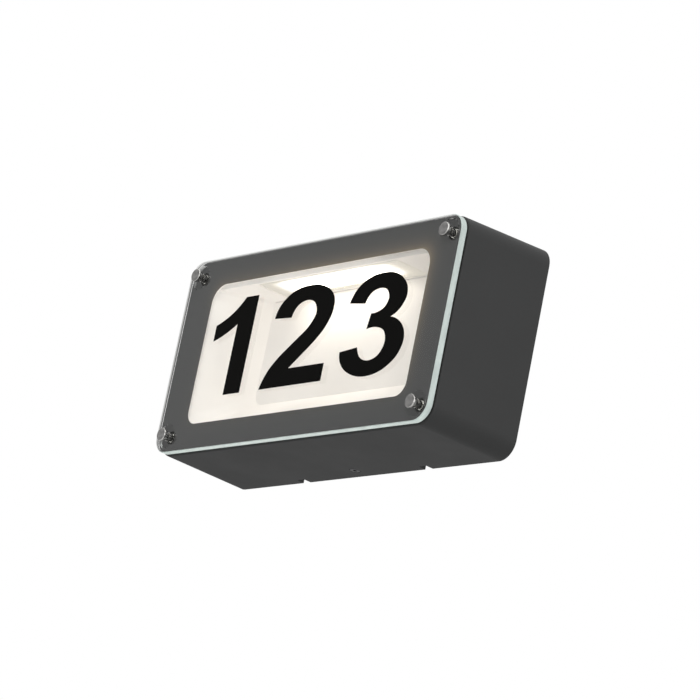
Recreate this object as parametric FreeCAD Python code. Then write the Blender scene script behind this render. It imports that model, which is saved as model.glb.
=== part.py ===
"""Illuminated house number sign: a printed glass front on a shallow cast wall lamp.

All sizes are in millimetres. X runs to the right as the sign is read, Z runs up and Y runs
into the wall. The wall is the plane Y = 0 and the origin is the middle of the wall plate.
"""
import FreeCAD, Part
import math
import os

# ------------------------------------------------------------------ driving sizes
OVERALL_DEPTH = 70.0            # wall to the front of the glass

GLASS_WIDTH = 265.0
GLASS_HEIGHT = 130.0
GLASS_THICKNESS = 4.5
GLASS_CORNER = 11.5
GLASS_EDGE_POLISH = 0.4         # bevel all round both faces

PRINT_THICKNESS = 0.15          # opaque border printed on the back of the glass
BORDER_SIDE = 26.0
BORDER_TOP = 18.0
WINDOW_TOP_CORNER = 12.0
WINDOW_BOTTOM_CORNER = 9.0
PRINT_MARGIN = 0.8              # bare glass outside the print

NUMERAL_FILM = 0.25             # thickness of the numerals on the front of the glass
NUMERAL_HEIGHT = 65.0
NUMERAL_GRID_COUNT = 65         # grid steps in the height of a numeral outline
NUMERAL_BASELINE = -31.0
NUMERAL_ONE_INSET = 13.9        # left end of the first numeral from the window's left edge
NUMERAL_TWO_LEFT = -34.3
NUMERAL_THREE_INSET = 66.7      # left end of the third numeral from the window's right edge

CAP_INSET = 11.0                # cap screw axis to both glass edges
CAP_HEAD_DIAMETER = 9.0
CAP_HEAD_THICKNESS = 1.6
CAP_EDGE_BEVEL = 0.35
CAP_STANDOFF = 3.2              # bare shank between the head and the glass
CAP_SHANK_DIAMETER = 4.0
CAP_THREAD_REACH = 9.5          # shank inside the threaded insert
GLASS_HOLE_DIAMETER = 6.0
THREAD_CLEARANCE = 0.05         # radial, between a shank and what it screws into
BORE_CLEARANCE = 0.15           # radial, between a shank and a plain hole
DRIVE_SLOT_WIDTH = 0.3          # share of the thickness of a screw head
DRIVE_SLOT_DEPTH = 0.45         # share of the thickness of a screw head

GASKET_THICKNESS = 0.85
GASKET_EDGE_INSET = 1.6

HOUSING_LIP = 0.7               # how far the front of the housing shows past the glass
HOUSING_DRAFT = 1.7             # how much further each side stands out at the wall
HOUSING_WALL = 2.4
HOUSING_FRONT_ROUND = 1.0
FRAME_THICKNESS = 2.5           # front of the housing, behind the gasket

BOSS_DIAMETER = 10.0
BOSS_LENGTH = 14.0
BOSS_ROOT = 0.5                 # how far a boss runs into the front frame
INSERT_DIAMETER = 6.0
INSERT_LENGTH = 11.0
SPACER_DIAMETER = 8.5

NOTCH_OFFSET = 59.0             # drain notches in the lower rear rim
NOTCH_WIDTH = 7.0
NOTCH_DEPTH = 5.5

LOCK_FROM_WALL = 10.0           # locking screw in the bottom wall
LOCK_HEAD_DIAMETER = 6.8
LOCK_HEAD_THICKNESS = 2.2
LOCK_SHANK_DIAMETER = 4.0
LOCK_PAD_DIAMETER = 12.0
LOCK_PAD_HEIGHT = 2.0
LOCK_NUT_ACROSS_FLATS = 7.0
LOCK_NUT_THICKNESS = 3.2
LOCK_TIP_GAP = 0.3              # screw tip to the wall plate flange
LOCK_TIP_REACH = 0.4            # screw tip past the nut

TRAY_WALL = 1.5
TRAY_MARGIN = 1.5               # mouth of the tray outside the printed window
TRAY_SETBACK = 0.2              # mouth behind the front of the housing
TRAY_DEPTH = 32.1               # mouth to the inside of the tray's back
TRAY_RAMP = 23.3                # how far the sides and the bottom run in
TRAY_BACK_CORNER = 8.0
TRAY_TOP_CORNER = 2.0
TRAY_FLANGE = 6.0               # rim behind the front frame
TRAY_CLEARANCE = 0.3
CEILING_DROP = 1.9              # flat ceiling below the top of the window

LAMP_WIDTH = 136.0
LAMP_DEPTH = 26.5
LAMP_GAP = 0.3
LAMP_HEIGHT = 9.0
LAMP_WALL = 1.6
LAMP_EDGE_ROUND = 1.2
LAMP_RIM = 1.5

LED_BOARD_WIDTH = 118.0
LED_BOARD_DEPTH = 16.0
LED_BOARD_THICKNESS = 1.6
LED_COUNT = 14
LED_LENGTH = 3.5
LED_WIDTH = 2.8
LED_HEIGHT = 0.8

CARRIER_THICKNESS = 1.5
CARRIER_OVERHANG = 15.0         # each end of the carrier past the lamp cover
CARRIER_BOSS_DIAMETER = 7.0
CARRIER_SCREW_OFFSET = 9.0      # screw axis past the end of the lamp cover

SCREW_SHANK_DIAMETER = 2.9      # small screws inside the sign
SCREW_HEAD_DIAMETER = 5.5
SCREW_HEAD_THICKNESS = 1.8
TRAY_SCREW_OFFSET = 95.0
TRAY_SCREW_GRIP = 2.0           # thread length in the front frame
CARRIER_SCREW_GRIP = 5.0

PLATE_THICKNESS = 1.5
PLATE_SIDE_GAP = 6.5            # plate to the inside of the housing at the wall, each side
PLATE_CORNER = 5.0
PLATE_TOP_GAP = 0.8             # top flange to the inside of the housing at the wall
PLATE_TOP_FLANGE = 14.0
PLATE_BOTTOM_FLANGE = 16.0
SLOT_SPACING_X = 180.0
SLOT_SPACING_Z = 70.0
SLOT_WIDTH = 5.2
SLOT_LENGTH = 9.0

GROMMET_HOLE_DIAMETER = 20.0
GROMMET_FLANGE_DIAMETER = 26.0
GROMMET_FLANGE_THICKNESS = 2.0
GROMMET_NOSE_LENGTH = 5.0
GROMMET_NOSE_DIAMETER = 12.0
GROMMET_BORE_DIAMETER = 8.0
GROMMET_SHOULDER = 1.0          # foot of the nose inside the neck

STANDOFF_LENGTH = 4.0           # posts on the back of the tray
STANDOFF_DIAMETER = 7.0
STANDOFF_SCREW_GRIP = 3.5

DRIVER_WIDTH = 78.0
DRIVER_HEIGHT = 34.0
DRIVER_DEPTH = 18.0
DRIVER_WALL = 1.5
DRIVER_INSET = 11.5             # left end of the driver from the window's left edge
DRIVER_BOTTOM = 0.0
DRIVER_EAR = 9.0
DRIVER_EAR_OFFSET = 18.0        # ear screws from the left end of the case
DRIVER_EAR_THICKNESS = 2.0
DRIVER_POST_HEIGHT = 2.0
DRIVER_POST_SIZE = 4.0
DRIVER_BOARD_THICKNESS = 1.6
DRIVER_BOARD_GAP = 0.4
COIL_SIZE = 17.0                # square transformer in the middle of the board
CAPACITOR_DIAMETER = 8.5
CAPACITOR_OFFSET = 26.0         # each capacitor from the middle of the board
CAPACITOR_GAP = 1.2             # capacitor below the top of the transformer

TERMINAL_PITCH = 10.0
TERMINAL_POLES = 3
TERMINAL_LEFT = 22.0
TERMINAL_BOTTOM = -2.0
TERMINAL_HEIGHT = 20.0
TERMINAL_DEPTH = 10.0
TERMINAL_TOWER_DIAMETER = 6.6
TERMINAL_TOWER_HEIGHT = 3.0
TERMINAL_TUBE_DIAMETER = 5.0
TERMINAL_TUBE_BORE = 2.6
TERMINAL_TUBE_INSET = 1.5
TERMINAL_SCREW_DIAMETER = 3.0
TERMINAL_SCREW_SPACING = 9.0
TERMINAL_SCREW_SINK = 1.0
TERMINAL_SLOT = 0.75            # width and depth of the drive slot
TERMINAL_BASE = 2.0             # thickness under the heads of the fixing screws

LEAD_DIAMETER = 1.8
LEAD_BEND = 4.0
LEAD_STRIP = 4.0                # length of lead inside a terminal
SUPPLY_RISE = (6.0, 11.0)       # height of the two supply leads over the terminals
LED_LEAD_OFFSET = 45.0          # first lamp lead from the left end of the driver
LED_LEAD_SPACING = 4.0
LED_LEAD_RISE = 4.5             # lamp leads over the carrier

EARTH_BOSS_DIAMETER = 8.0
EARTH_BOSS_HEIGHT = 9.0
EARTH_OFFSET = 16.3             # earth boss in front of the axis of the terminals
EARTH_LUG_THICKNESS = 0.8
EARTH_LUG_DIAMETER = 8.0
EARTH_BARREL_DIAMETER = 3.2
EARTH_BARREL_LENGTH = 7.0
EARTH_SCREW_DIAMETER = 4.0
EARTH_HEAD_DIAMETER = 7.0
EARTH_HEAD_THICKNESS = 2.4
EARTH_SCREW_GRIP = 7.0

PAST = 1.0                      # how far a cutting shape runs past the face it opens
FLAT = 1e-4                     # edges closer to a plane than this count as lying in it

# ------------------------------------------------------------------ places worked out
GLASS_FRONT = -OVERALL_DEPTH
GLASS_BACK = GLASS_FRONT + GLASS_THICKNESS
PRINT_BACK = GLASS_BACK + PRINT_THICKNESS
HOUSING_FRONT = PRINT_BACK + GASKET_THICKNESS
FRAME_BACK = HOUSING_FRONT + FRAME_THICKNESS
FLANGE_BACK = FRAME_BACK + TRAY_WALL
TRAY_MOUTH = HOUSING_FRONT + TRAY_SETBACK
TRAY_FLOOR = TRAY_MOUTH + TRAY_DEPTH
TRAY_REAR = TRAY_FLOOR + TRAY_WALL

HALF_GLASS_X = GLASS_WIDTH / 2
HALF_GLASS_Z = GLASS_HEIGHT / 2
FRONT_HALF_X = HALF_GLASS_X + HOUSING_LIP
FRONT_HALF_Z = HALF_GLASS_Z + HOUSING_LIP
REAR_HALF_X = FRONT_HALF_X + HOUSING_DRAFT
REAR_HALF_Z = FRONT_HALF_Z + HOUSING_DRAFT
HOUSING_CORNER = GLASS_CORNER + HOUSING_LIP
WINDOW_HALF_X = HALF_GLASS_X - BORDER_SIDE
WINDOW_HALF_Z = HALF_GLASS_Z - BORDER_TOP
NUMERAL_ONE_LEFT = -WINDOW_HALF_X + NUMERAL_ONE_INSET
NUMERAL_THREE_LEFT = WINDOW_HALF_X - NUMERAL_THREE_INSET
CAP_X = HALF_GLASS_X - CAP_INSET
CAP_Z = HALF_GLASS_Z - CAP_INSET
CAP_PLACES = [(side * CAP_X, level * CAP_Z) for side in (-1, 1) for level in (-1, 1)]

RAMP_WALL = TRAY_WALL / math.cos(math.atan2(TRAY_RAMP, TRAY_DEPTH))
MOUTH_HALF_X = WINDOW_HALF_X + TRAY_MARGIN
MOUTH_HALF_Z = WINDOW_HALF_Z + TRAY_MARGIN
FRAME_HALF_X = MOUTH_HALF_X + RAMP_WALL + TRAY_CLEARANCE
FRAME_HALF_Z = MOUTH_HALF_Z + RAMP_WALL + TRAY_CLEARANCE
CEILING_Z = WINDOW_HALF_Z - CEILING_DROP
CEILING_TOP = CEILING_Z + TRAY_WALL
TRAY_SCREW_Z = FRAME_HALF_Z + TRAY_FLANGE / 2

LAMP_MID_Y = FLANGE_BACK + LAMP_GAP + LAMP_DEPTH / 2
LAMP_TOP = CEILING_Z + LAMP_HEIGHT
CARRIER_TOP = LAMP_TOP + CARRIER_THICKNESS
CARRIER_SCREW_X = LAMP_WIDTH / 2 + CARRIER_SCREW_OFFSET

LOCK_Y = -LOCK_FROM_WALL


def housing_half_z(y):
    """Half height of the outside of the housing at a depth."""
    share = (y - HOUSING_FRONT) / -HOUSING_FRONT
    return FRONT_HALF_Z + HOUSING_DRAFT * share


LOCK_OUTER_Z = -housing_half_z(LOCK_Y)
LOCK_PAD_TOP = LOCK_OUTER_Z + HOUSING_WALL + LOCK_PAD_HEIGHT
LOCK_NUT_TOP = LOCK_PAD_TOP + LOCK_NUT_THICKNESS
LOCK_TIP = LOCK_NUT_TOP + LOCK_TIP_REACH
PLATE_BOTTOM = LOCK_TIP + LOCK_TIP_GAP
PLATE_TOP = REAR_HALF_Z - HOUSING_WALL - PLATE_TOP_GAP

GEAR_SEAT = TRAY_REAR + STANDOFF_LENGTH
DRIVER_LEFT = -WINDOW_HALF_X + DRIVER_INSET
DRIVER_RIGHT = DRIVER_LEFT + DRIVER_WIDTH
DRIVER_TOP = DRIVER_BOTTOM + DRIVER_HEIGHT
DRIVER_REAR = GEAR_SEAT + DRIVER_DEPTH
DRIVER_MID_Y = GEAR_SEAT + DRIVER_DEPTH / 2
DRIVER_EAR_X = DRIVER_LEFT + DRIVER_EAR_OFFSET
DRIVER_EARS = [(DRIVER_EAR_X, DRIVER_BOTTOM - DRIVER_EAR / 2),
               (DRIVER_EAR_X, DRIVER_TOP + DRIVER_EAR / 2)]
TERMINAL_TOP = TERMINAL_BOTTOM + TERMINAL_HEIGHT
TERMINAL_MID_Z = TERMINAL_BOTTOM + TERMINAL_HEIGHT / 2
TERMINAL_REAR = GEAR_SEAT + TERMINAL_DEPTH
TERMINAL_AXIS_Y = GEAR_SEAT + TERMINAL_DEPTH / 2
TERMINAL_X = [TERMINAL_LEFT + TERMINAL_PITCH * (i + 0.5) for i in range(TERMINAL_POLES)]
TERMINAL_FIXINGS = [(TERMINAL_LEFT + TERMINAL_PITCH * i, TERMINAL_MID_Z)
                    for i in range(1, TERMINAL_POLES)]
TERMINAL_SCREWS = [(x, TERMINAL_MID_Z + side * TERMINAL_SCREW_SPACING / 2)
                   for x in TERMINAL_X for side in (-1, 1)]
GEAR_FIXINGS = DRIVER_EARS + TERMINAL_FIXINGS
LED_LEAD_X = [DRIVER_LEFT + LED_LEAD_OFFSET + LED_LEAD_SPACING * i for i in range(2)]
EARTH_Y = TERMINAL_AXIS_Y - EARTH_OFFSET
EARTH_X = TERMINAL_X[-1]
EARTH_WALL_Z = -housing_half_z(EARTH_Y) + HOUSING_WALL
EARTH_SEAT = EARTH_WALL_Z + EARTH_BOSS_HEIGHT


# ------------------------------------------------------------------ shape helpers
def vec(x, y, z):
    """Point or direction."""
    return FreeCAD.Vector(x, y, z)


def block(x_span, y_span, z_span):
    """Plain box from three spans."""
    size = [span[1] - span[0] for span in (x_span, y_span, z_span)]
    return Part.makeBox(size[0], size[1], size[2], vec(x_span[0], y_span[0], z_span[0]))


def rod_y(x, z, diameter, front, back):
    """Cylinder along Y between two depths."""
    return Part.makeCylinder(diameter / 2, back - front, vec(x, front, z), vec(0, 1, 0))


def rod_z(x, y, diameter, low, high):
    """Cylinder along Z between two heights."""
    return Part.makeCylinder(diameter / 2, high - low, vec(x, y, low), vec(0, 0, 1))


def arc(start, middle, end):
    """Edge through three points."""
    return Part.Arc(start, middle, end).toShape()


def panel_wire(half_x, low, high, low_corner, high_corner, y):
    """Outline of a rounded rectangle that faces along Y."""
    edges = []
    corners = [
        (half_x, low, low_corner, -90),
        (half_x, high, high_corner, 0),
        (-half_x, high, high_corner, 90),
        (-half_x, low, low_corner, 180),
    ]
    ends = []
    for x, z, radius, first_angle in corners:
        centre_x = x - math.copysign(radius, x)
        centre_z = z + radius if z == low else z - radius
        turn = [math.radians(first_angle + step) for step in (0, 45, 90)]
        ends.append([vec(centre_x + radius * math.cos(a), y, centre_z + radius * math.sin(a))
                     for a in turn])
    for index, (first, middle, last) in enumerate(ends):
        edges.append(arc(first, middle, last))
        edges.append(Part.LineSegment(last, ends[(index + 1) % len(ends)][0]).toShape())
    return Part.Wire(edges)


def slab(half_x, low, high, low_corner, high_corner, front, back):
    """Rounded rectangular plate between two depths."""
    face = Part.Face(panel_wire(half_x, low, high, low_corner, high_corner, front))
    return face.extrude(vec(0, back - front, 0))


def frame_opening(front, back):
    """Window through the front frame, also used by the gasket."""
    return slab(FRAME_HALF_X, -FRAME_HALF_Z, FRAME_HALF_Z, WINDOW_BOTTOM_CORNER,
                WINDOW_TOP_CORNER, front, back)


def even_slab(half_x, half_z, corner, front, back):
    """Plate that is the same above and below the middle."""
    return slab(half_x, -half_z, half_z, corner, corner, front, back)


def drafted(front_wire, back_wire):
    """Solid with straight sides between two outlines of the same make."""
    return Part.makeLoft([front_wire, back_wire], True, True)


def turned_y(x, z, outline):
    """Body of revolution about a line along Y, from (radius, depth) points."""
    points = [vec(x + radius, y, z) for radius, y in outline]
    face = Part.Face(Part.makePolygon(points + [points[0]]))
    return face.revolve(vec(x, 0, z), vec(0, 1, 0), 360)


def screw(place, head_way, head_diameter, head_thickness, shank_diameter, shank_length):
    """Pan head screw: place is under the head and head_way points out of the hole."""
    head = Part.makeCylinder(head_diameter / 2, head_thickness, place, head_way)
    shank = Part.makeCylinder(shank_diameter / 2, shank_length, place, head_way * -1)
    body = head.fuse(shank).removeSplitter()
    width = head_thickness * DRIVE_SLOT_WIDTH
    slot = Part.makeBox(head_diameter, width, head_thickness)
    slot.translate(vec(-head_diameter / 2, -width / 2, head_thickness * (1 - DRIVE_SLOT_DEPTH)))
    slot.Placement = FreeCAD.Placement(place, FreeCAD.Rotation(vec(0, 0, 1), head_way)) \
        .multiply(slot.Placement)
    return body.cut(slot)


def lead(points, diameter, bend):
    """Insulated wire along straight runs joined by arcs."""
    edges = []
    start = points[0]
    for index in range(1, len(points) - 1):
        corner = points[index]
        before = (points[index - 1] - corner).normalize()
        after = (points[index + 1] - corner).normalize()
        first = corner + before * bend
        last = corner + after * bend
        centre = corner + (before + after) * bend
        middle = centre + (corner - centre).normalize() * bend
        edges.append(Part.LineSegment(start, first).toShape())
        edges.append(arc(first, middle, last))
        start = last
    edges.append(Part.LineSegment(start, points[-1]).toShape())
    ring = Part.Wire(Part.makeCircle(diameter / 2, points[0], points[1] - points[0]))
    return Part.Wire(edges).makePipeShell([ring], True, False)


def group(solids):
    """Several separate solids kept in one node."""
    return Part.makeCompound(solids)


def sketch(start, steps, left, base, front, back):
    """Flat numeral from lines (x, z) and arcs ((x, z), (x, z)), at its size and place."""
    grid = NUMERAL_HEIGHT / NUMERAL_GRID_COUNT

    def place(point):
        return vec(left + point[0] * grid, front, base + point[1] * grid)

    edges = []
    here = start
    for step in steps:
        if isinstance(step[0], tuple):
            edges.append(arc(place(here), place(step[0]), place(step[1])))
            here = step[1]
        else:
            edges.append(Part.LineSegment(place(here), place(step)).toShape())
            here = step
    return Part.Face(Part.Wire(edges)).extrude(vec(0, back - front, 0))


# ------------------------------------------------------------------ glass front
def front_glass():
    """Clear safety glass with polished edges and four screw holes."""
    pane = even_slab(HALF_GLASS_X, HALF_GLASS_Z, GLASS_CORNER, GLASS_FRONT, GLASS_BACK)
    rims = [e for e in pane.Edges if e.BoundBox.YLength < FLAT]
    pane = pane.makeChamfer(GLASS_EDGE_POLISH, rims)
    for x, z in CAP_PLACES:
        pane = pane.cut(rod_y(x, z, GLASS_HOLE_DIAMETER, GLASS_FRONT - PAST, GLASS_BACK + PAST))
    return pane


def border_print():
    """Dark printed border on the back of the glass, round the clear window."""
    corner = GLASS_CORNER - PRINT_MARGIN
    layer = even_slab(HALF_GLASS_X - PRINT_MARGIN, HALF_GLASS_Z - PRINT_MARGIN, corner,
                      GLASS_BACK, PRINT_BACK)
    layer = layer.cut(slab(WINDOW_HALF_X, -WINDOW_HALF_Z, WINDOW_HALF_Z, WINDOW_BOTTOM_CORNER,
                           WINDOW_TOP_CORNER, GLASS_BACK - PAST, PRINT_BACK + PAST))
    for x, z in CAP_PLACES:
        layer = layer.cut(rod_y(x, z, GLASS_HOLE_DIAMETER, GLASS_BACK - PAST, PRINT_BACK + PAST))
    return layer


def numeral(start, steps, left):
    """One film numeral on the front of the glass."""
    return sketch(start, steps, left, NUMERAL_BASELINE, GLASS_FRONT - NUMERAL_FILM, GLASS_FRONT)


def numeral_one():
    """Straight stem with a curved flag."""
    return numeral((38.5, 0), [
        (38.5, 65), (26, 65),
        ((14.5, 55), (0, 48.5)),
        (0, 38),
        ((11.5, 42), (22, 47.5)),
        (22, 0), (38.5, 0),
    ], NUMERAL_ONE_LEFT)


def numeral_two():
    """Bowl, diagonal and foot."""
    return numeral((0, 0), [
        (60.5, 0), (60.5, 11.5), (25.5, 11.5), (46, 27),
        ((54.5, 35), (59.5, 47.5)),
        ((58, 54.5), (54, 59)),
        ((44, 64), (31.5, 65.5)),
        ((18.5, 63.7), (8.5, 59)),
        ((4, 53.5), (2, 46.5)),
        (18.5, 45.5),
        ((22, 53), (31.5, 55.7)),
        ((40, 53), (43, 46)),
        ((39.5, 39), (29.5, 31)),
        (12.7, 19),
        ((5, 11), (0, 0)),
    ], NUMERAL_TWO_LEFT)


def numeral_three():
    """Two bowls with a short middle bar."""
    return numeral((0.5, 48.3), [
        ((4, 56), (10.2, 61.4)),
        ((18.2, 64.3), (27.2, 65.2)),
        ((40.7, 63), (48.7, 58.5)),
        ((53.2, 53), (54, 48.3)),
        ((51.7, 42), (42.2, 35.4)),
        ((52, 31), (57.4, 25.5)),
        ((58.9, 19), (56.7, 11.2)),
        ((47.7, 3), (29.2, -1.3)),
        ((14.2, 1.3), (5, 7)),
        ((1.2, 12), (0, 16.9)),
        (16, 18.4),
        ((20.2, 11.5), (29.5, 8.8)),
        ((38.2, 11.8), (41.7, 19.7)),
        ((39.2, 26.2), (31.2, 30.3)),
        (21.6, 29.5), (23.2, 39.4), (28.7, 39.7),
        ((35.7, 43.3), (37.4, 48)),
        ((34.7, 53), (27.2, 55.3)),
        ((19, 52.7), (15.4, 46.6)),
        (0.5, 48.3),
    ], NUMERAL_THREE_LEFT)


def cap_screws():
    """Four screws with flat round heads that stand off the glass."""
    head_back = GLASS_FRONT - CAP_STANDOFF
    head_front = head_back - CAP_HEAD_THICKNESS
    tip = HOUSING_FRONT + CAP_THREAD_REACH
    head = CAP_HEAD_DIAMETER / 2
    shank = CAP_SHANK_DIAMETER / 2
    return group([turned_y(x, z, [
        (0, head_front),
        (head - CAP_EDGE_BEVEL, head_front),
        (head, head_front + CAP_EDGE_BEVEL),
        (head, head_back - CAP_EDGE_BEVEL),
        (head - CAP_EDGE_BEVEL, head_back),
        (shank, head_back),
        (shank, tip - CAP_EDGE_BEVEL),
        (shank - CAP_EDGE_BEVEL, tip),
        (0, tip),
    ]) for x, z in CAP_PLACES])


def screw_spacers():
    """Metal rings round the cap screws between the glass and the housing."""
    bore = CAP_SHANK_DIAMETER + 2 * BORE_CLEARANCE
    return group([rod_y(x, z, SPACER_DIAMETER, PRINT_BACK, HOUSING_FRONT)
                  .cut(rod_y(x, z, bore, PRINT_BACK - PAST, HOUSING_FRONT + PAST))
                  for x, z in CAP_PLACES])


# ------------------------------------------------------------------ housing
def housing():
    """Cast box, open at the wall, with a front frame, screw bosses and drain notches."""
    outer = drafted(
        panel_wire(FRONT_HALF_X, -FRONT_HALF_Z, FRONT_HALF_Z, HOUSING_CORNER, HOUSING_CORNER,
                   HOUSING_FRONT),
        panel_wire(REAR_HALF_X, -REAR_HALF_Z, REAR_HALF_Z, HOUSING_CORNER, HOUSING_CORNER, 0))
    rims = [e for e in outer.Edges if abs(e.BoundBox.YMax - HOUSING_FRONT) < FLAT]
    outer = outer.makeFillet(HOUSING_FRONT_ROUND, rims)
    slope = HOUSING_DRAFT / -HOUSING_FRONT
    grow = slope * FRAME_THICKNESS
    past = slope * PAST
    inner_corner = HOUSING_CORNER - HOUSING_WALL
    inside = drafted(
        panel_wire(FRONT_HALF_X - HOUSING_WALL + grow, -FRONT_HALF_Z + HOUSING_WALL - grow,
                   FRONT_HALF_Z - HOUSING_WALL + grow, inner_corner, inner_corner, FRAME_BACK),
        panel_wire(REAR_HALF_X - HOUSING_WALL + past, -REAR_HALF_Z + HOUSING_WALL - past,
                   REAR_HALF_Z - HOUSING_WALL + past, inner_corner, inner_corner, PAST))
    shell = outer.cut(inside)
    shell = shell.cut(frame_opening(HOUSING_FRONT - PAST, FRAME_BACK + PAST))
    for x, z in CAP_PLACES:
        shell = shell.fuse(rod_y(x, z, BOSS_DIAMETER, FRAME_BACK - BOSS_ROOT,
                                 FRAME_BACK + BOSS_LENGTH))
    shell = shell.fuse(rod_z(0, LOCK_Y, LOCK_PAD_DIAMETER, LOCK_OUTER_Z + HOUSING_WALL / 2,
                             LOCK_PAD_TOP))
    shell = shell.fuse(rod_z(EARTH_X, EARTH_Y, EARTH_BOSS_DIAMETER,
                             EARTH_WALL_Z - HOUSING_WALL / 2, EARTH_SEAT))
    for x, z in CAP_PLACES:
        shell = shell.cut(rod_y(x, z, INSERT_DIAMETER, HOUSING_FRONT - PAST,
                                HOUSING_FRONT + INSERT_LENGTH))
    shell = shell.cut(rod_z(0, LOCK_Y, LOCK_SHANK_DIAMETER + 2 * BORE_CLEARANCE,
                            LOCK_OUTER_Z - PAST, LOCK_PAD_TOP + PAST))
    shell = shell.cut(rod_z(0, LOCK_Y, LOCK_HEAD_DIAMETER + 2 * BORE_CLEARANCE,
                            LOCK_OUTER_Z - PAST, LOCK_OUTER_Z + LOCK_HEAD_THICKNESS))
    shell = shell.cut(rod_z(EARTH_X, EARTH_Y, EARTH_SCREW_DIAMETER,
                            EARTH_SEAT - EARTH_SCREW_GRIP, EARTH_SEAT + PAST))
    for side in (-1, 1):
        for level in (-1, 1):
            shell = shell.cut(rod_y(side * TRAY_SCREW_OFFSET, level * TRAY_SCREW_Z,
                                    SCREW_SHANK_DIAMETER, FRAME_BACK - TRAY_SCREW_GRIP,
                                    FRAME_BACK + PAST))
        middle = side * NOTCH_OFFSET
        shell = shell.cut(block((middle - NOTCH_WIDTH / 2, middle + NOTCH_WIDTH / 2),
                                (-NOTCH_DEPTH, PAST),
                                (-REAR_HALF_Z - PAST, -REAR_HALF_Z + HOUSING_WALL + PAST)))
    return shell


def threaded_inserts():
    """Brass inserts in the four bosses."""
    bore = CAP_SHANK_DIAMETER + 2 * THREAD_CLEARANCE
    end = HOUSING_FRONT + INSERT_LENGTH
    return group([rod_y(x, z, INSERT_DIAMETER, HOUSING_FRONT, end)
                  .cut(rod_y(x, z, bore, HOUSING_FRONT - PAST, end + PAST)) for x, z in CAP_PLACES])


def glass_gasket():
    """Thin black frame between the print and the housing."""
    seat = even_slab(HALF_GLASS_X - GASKET_EDGE_INSET, HALF_GLASS_Z - GASKET_EDGE_INSET,
                     GLASS_CORNER - GASKET_EDGE_INSET, PRINT_BACK, HOUSING_FRONT)
    seat = seat.cut(frame_opening(PRINT_BACK - PAST, HOUSING_FRONT + PAST))
    for x, z in CAP_PLACES:
        seat = seat.cut(rod_y(x, z, SPACER_DIAMETER + 2 * TRAY_CLEARANCE,
                              PRINT_BACK - PAST, HOUSING_FRONT + PAST))
    return seat


def lock_nut():
    """Hexagon nut on the pad over the locking screw."""
    corners = [vec(LOCK_NUT_ACROSS_FLATS / math.sqrt(3) * math.cos(math.radians(60 * i)),
                   LOCK_Y + LOCK_NUT_ACROSS_FLATS / math.sqrt(3) * math.sin(math.radians(60 * i)),
                   LOCK_PAD_TOP) for i in range(6)]
    nut = Part.Face(Part.makePolygon(corners + [corners[0]]))
    nut = nut.extrude(vec(0, 0, LOCK_NUT_THICKNESS))
    return nut.cut(rod_z(0, LOCK_Y, LOCK_SHANK_DIAMETER + 2 * THREAD_CLEARANCE,
                         LOCK_PAD_TOP - PAST, LOCK_NUT_TOP + PAST))


def locking_screw():
    """Screw in the bottom wall that clamps the housing on the wall plate."""
    seat = LOCK_OUTER_Z + LOCK_HEAD_THICKNESS
    return screw(vec(0, LOCK_Y, seat), vec(0, 0, -1), LOCK_HEAD_DIAMETER,
                 LOCK_HEAD_THICKNESS, LOCK_SHANK_DIAMETER, LOCK_TIP - seat)


# ------------------------------------------------------------------ light tray and lamp
def tray_body(margin_x, margin_z, corner_margin, front, back):
    """Tapered body of the tray, grown by a margin on its sides and its height."""
    return drafted(
        panel_wire(MOUTH_HALF_X + margin_x, -MOUTH_HALF_Z - margin_x, CEILING_Z + margin_z,
                   WINDOW_BOTTOM_CORNER + corner_margin, TRAY_TOP_CORNER + corner_margin, front),
        panel_wire(MOUTH_HALF_X - TRAY_RAMP + margin_x, -MOUTH_HALF_Z + TRAY_RAMP - margin_x,
                   CEILING_Z + margin_z, TRAY_BACK_CORNER + corner_margin,
                   TRAY_TOP_CORNER + corner_margin, back))


def mouth_limit(margin, back):
    """Straight block as wide and tall as the mouth, grown by a margin."""
    return slab(MOUTH_HALF_X + margin, -MOUTH_HALF_Z - margin, MOUTH_HALF_Z + margin,
                WINDOW_BOTTOM_CORNER - RAMP_WALL + margin,
                WINDOW_TOP_CORNER - RAMP_WALL + margin, TRAY_MOUTH, back)


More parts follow.
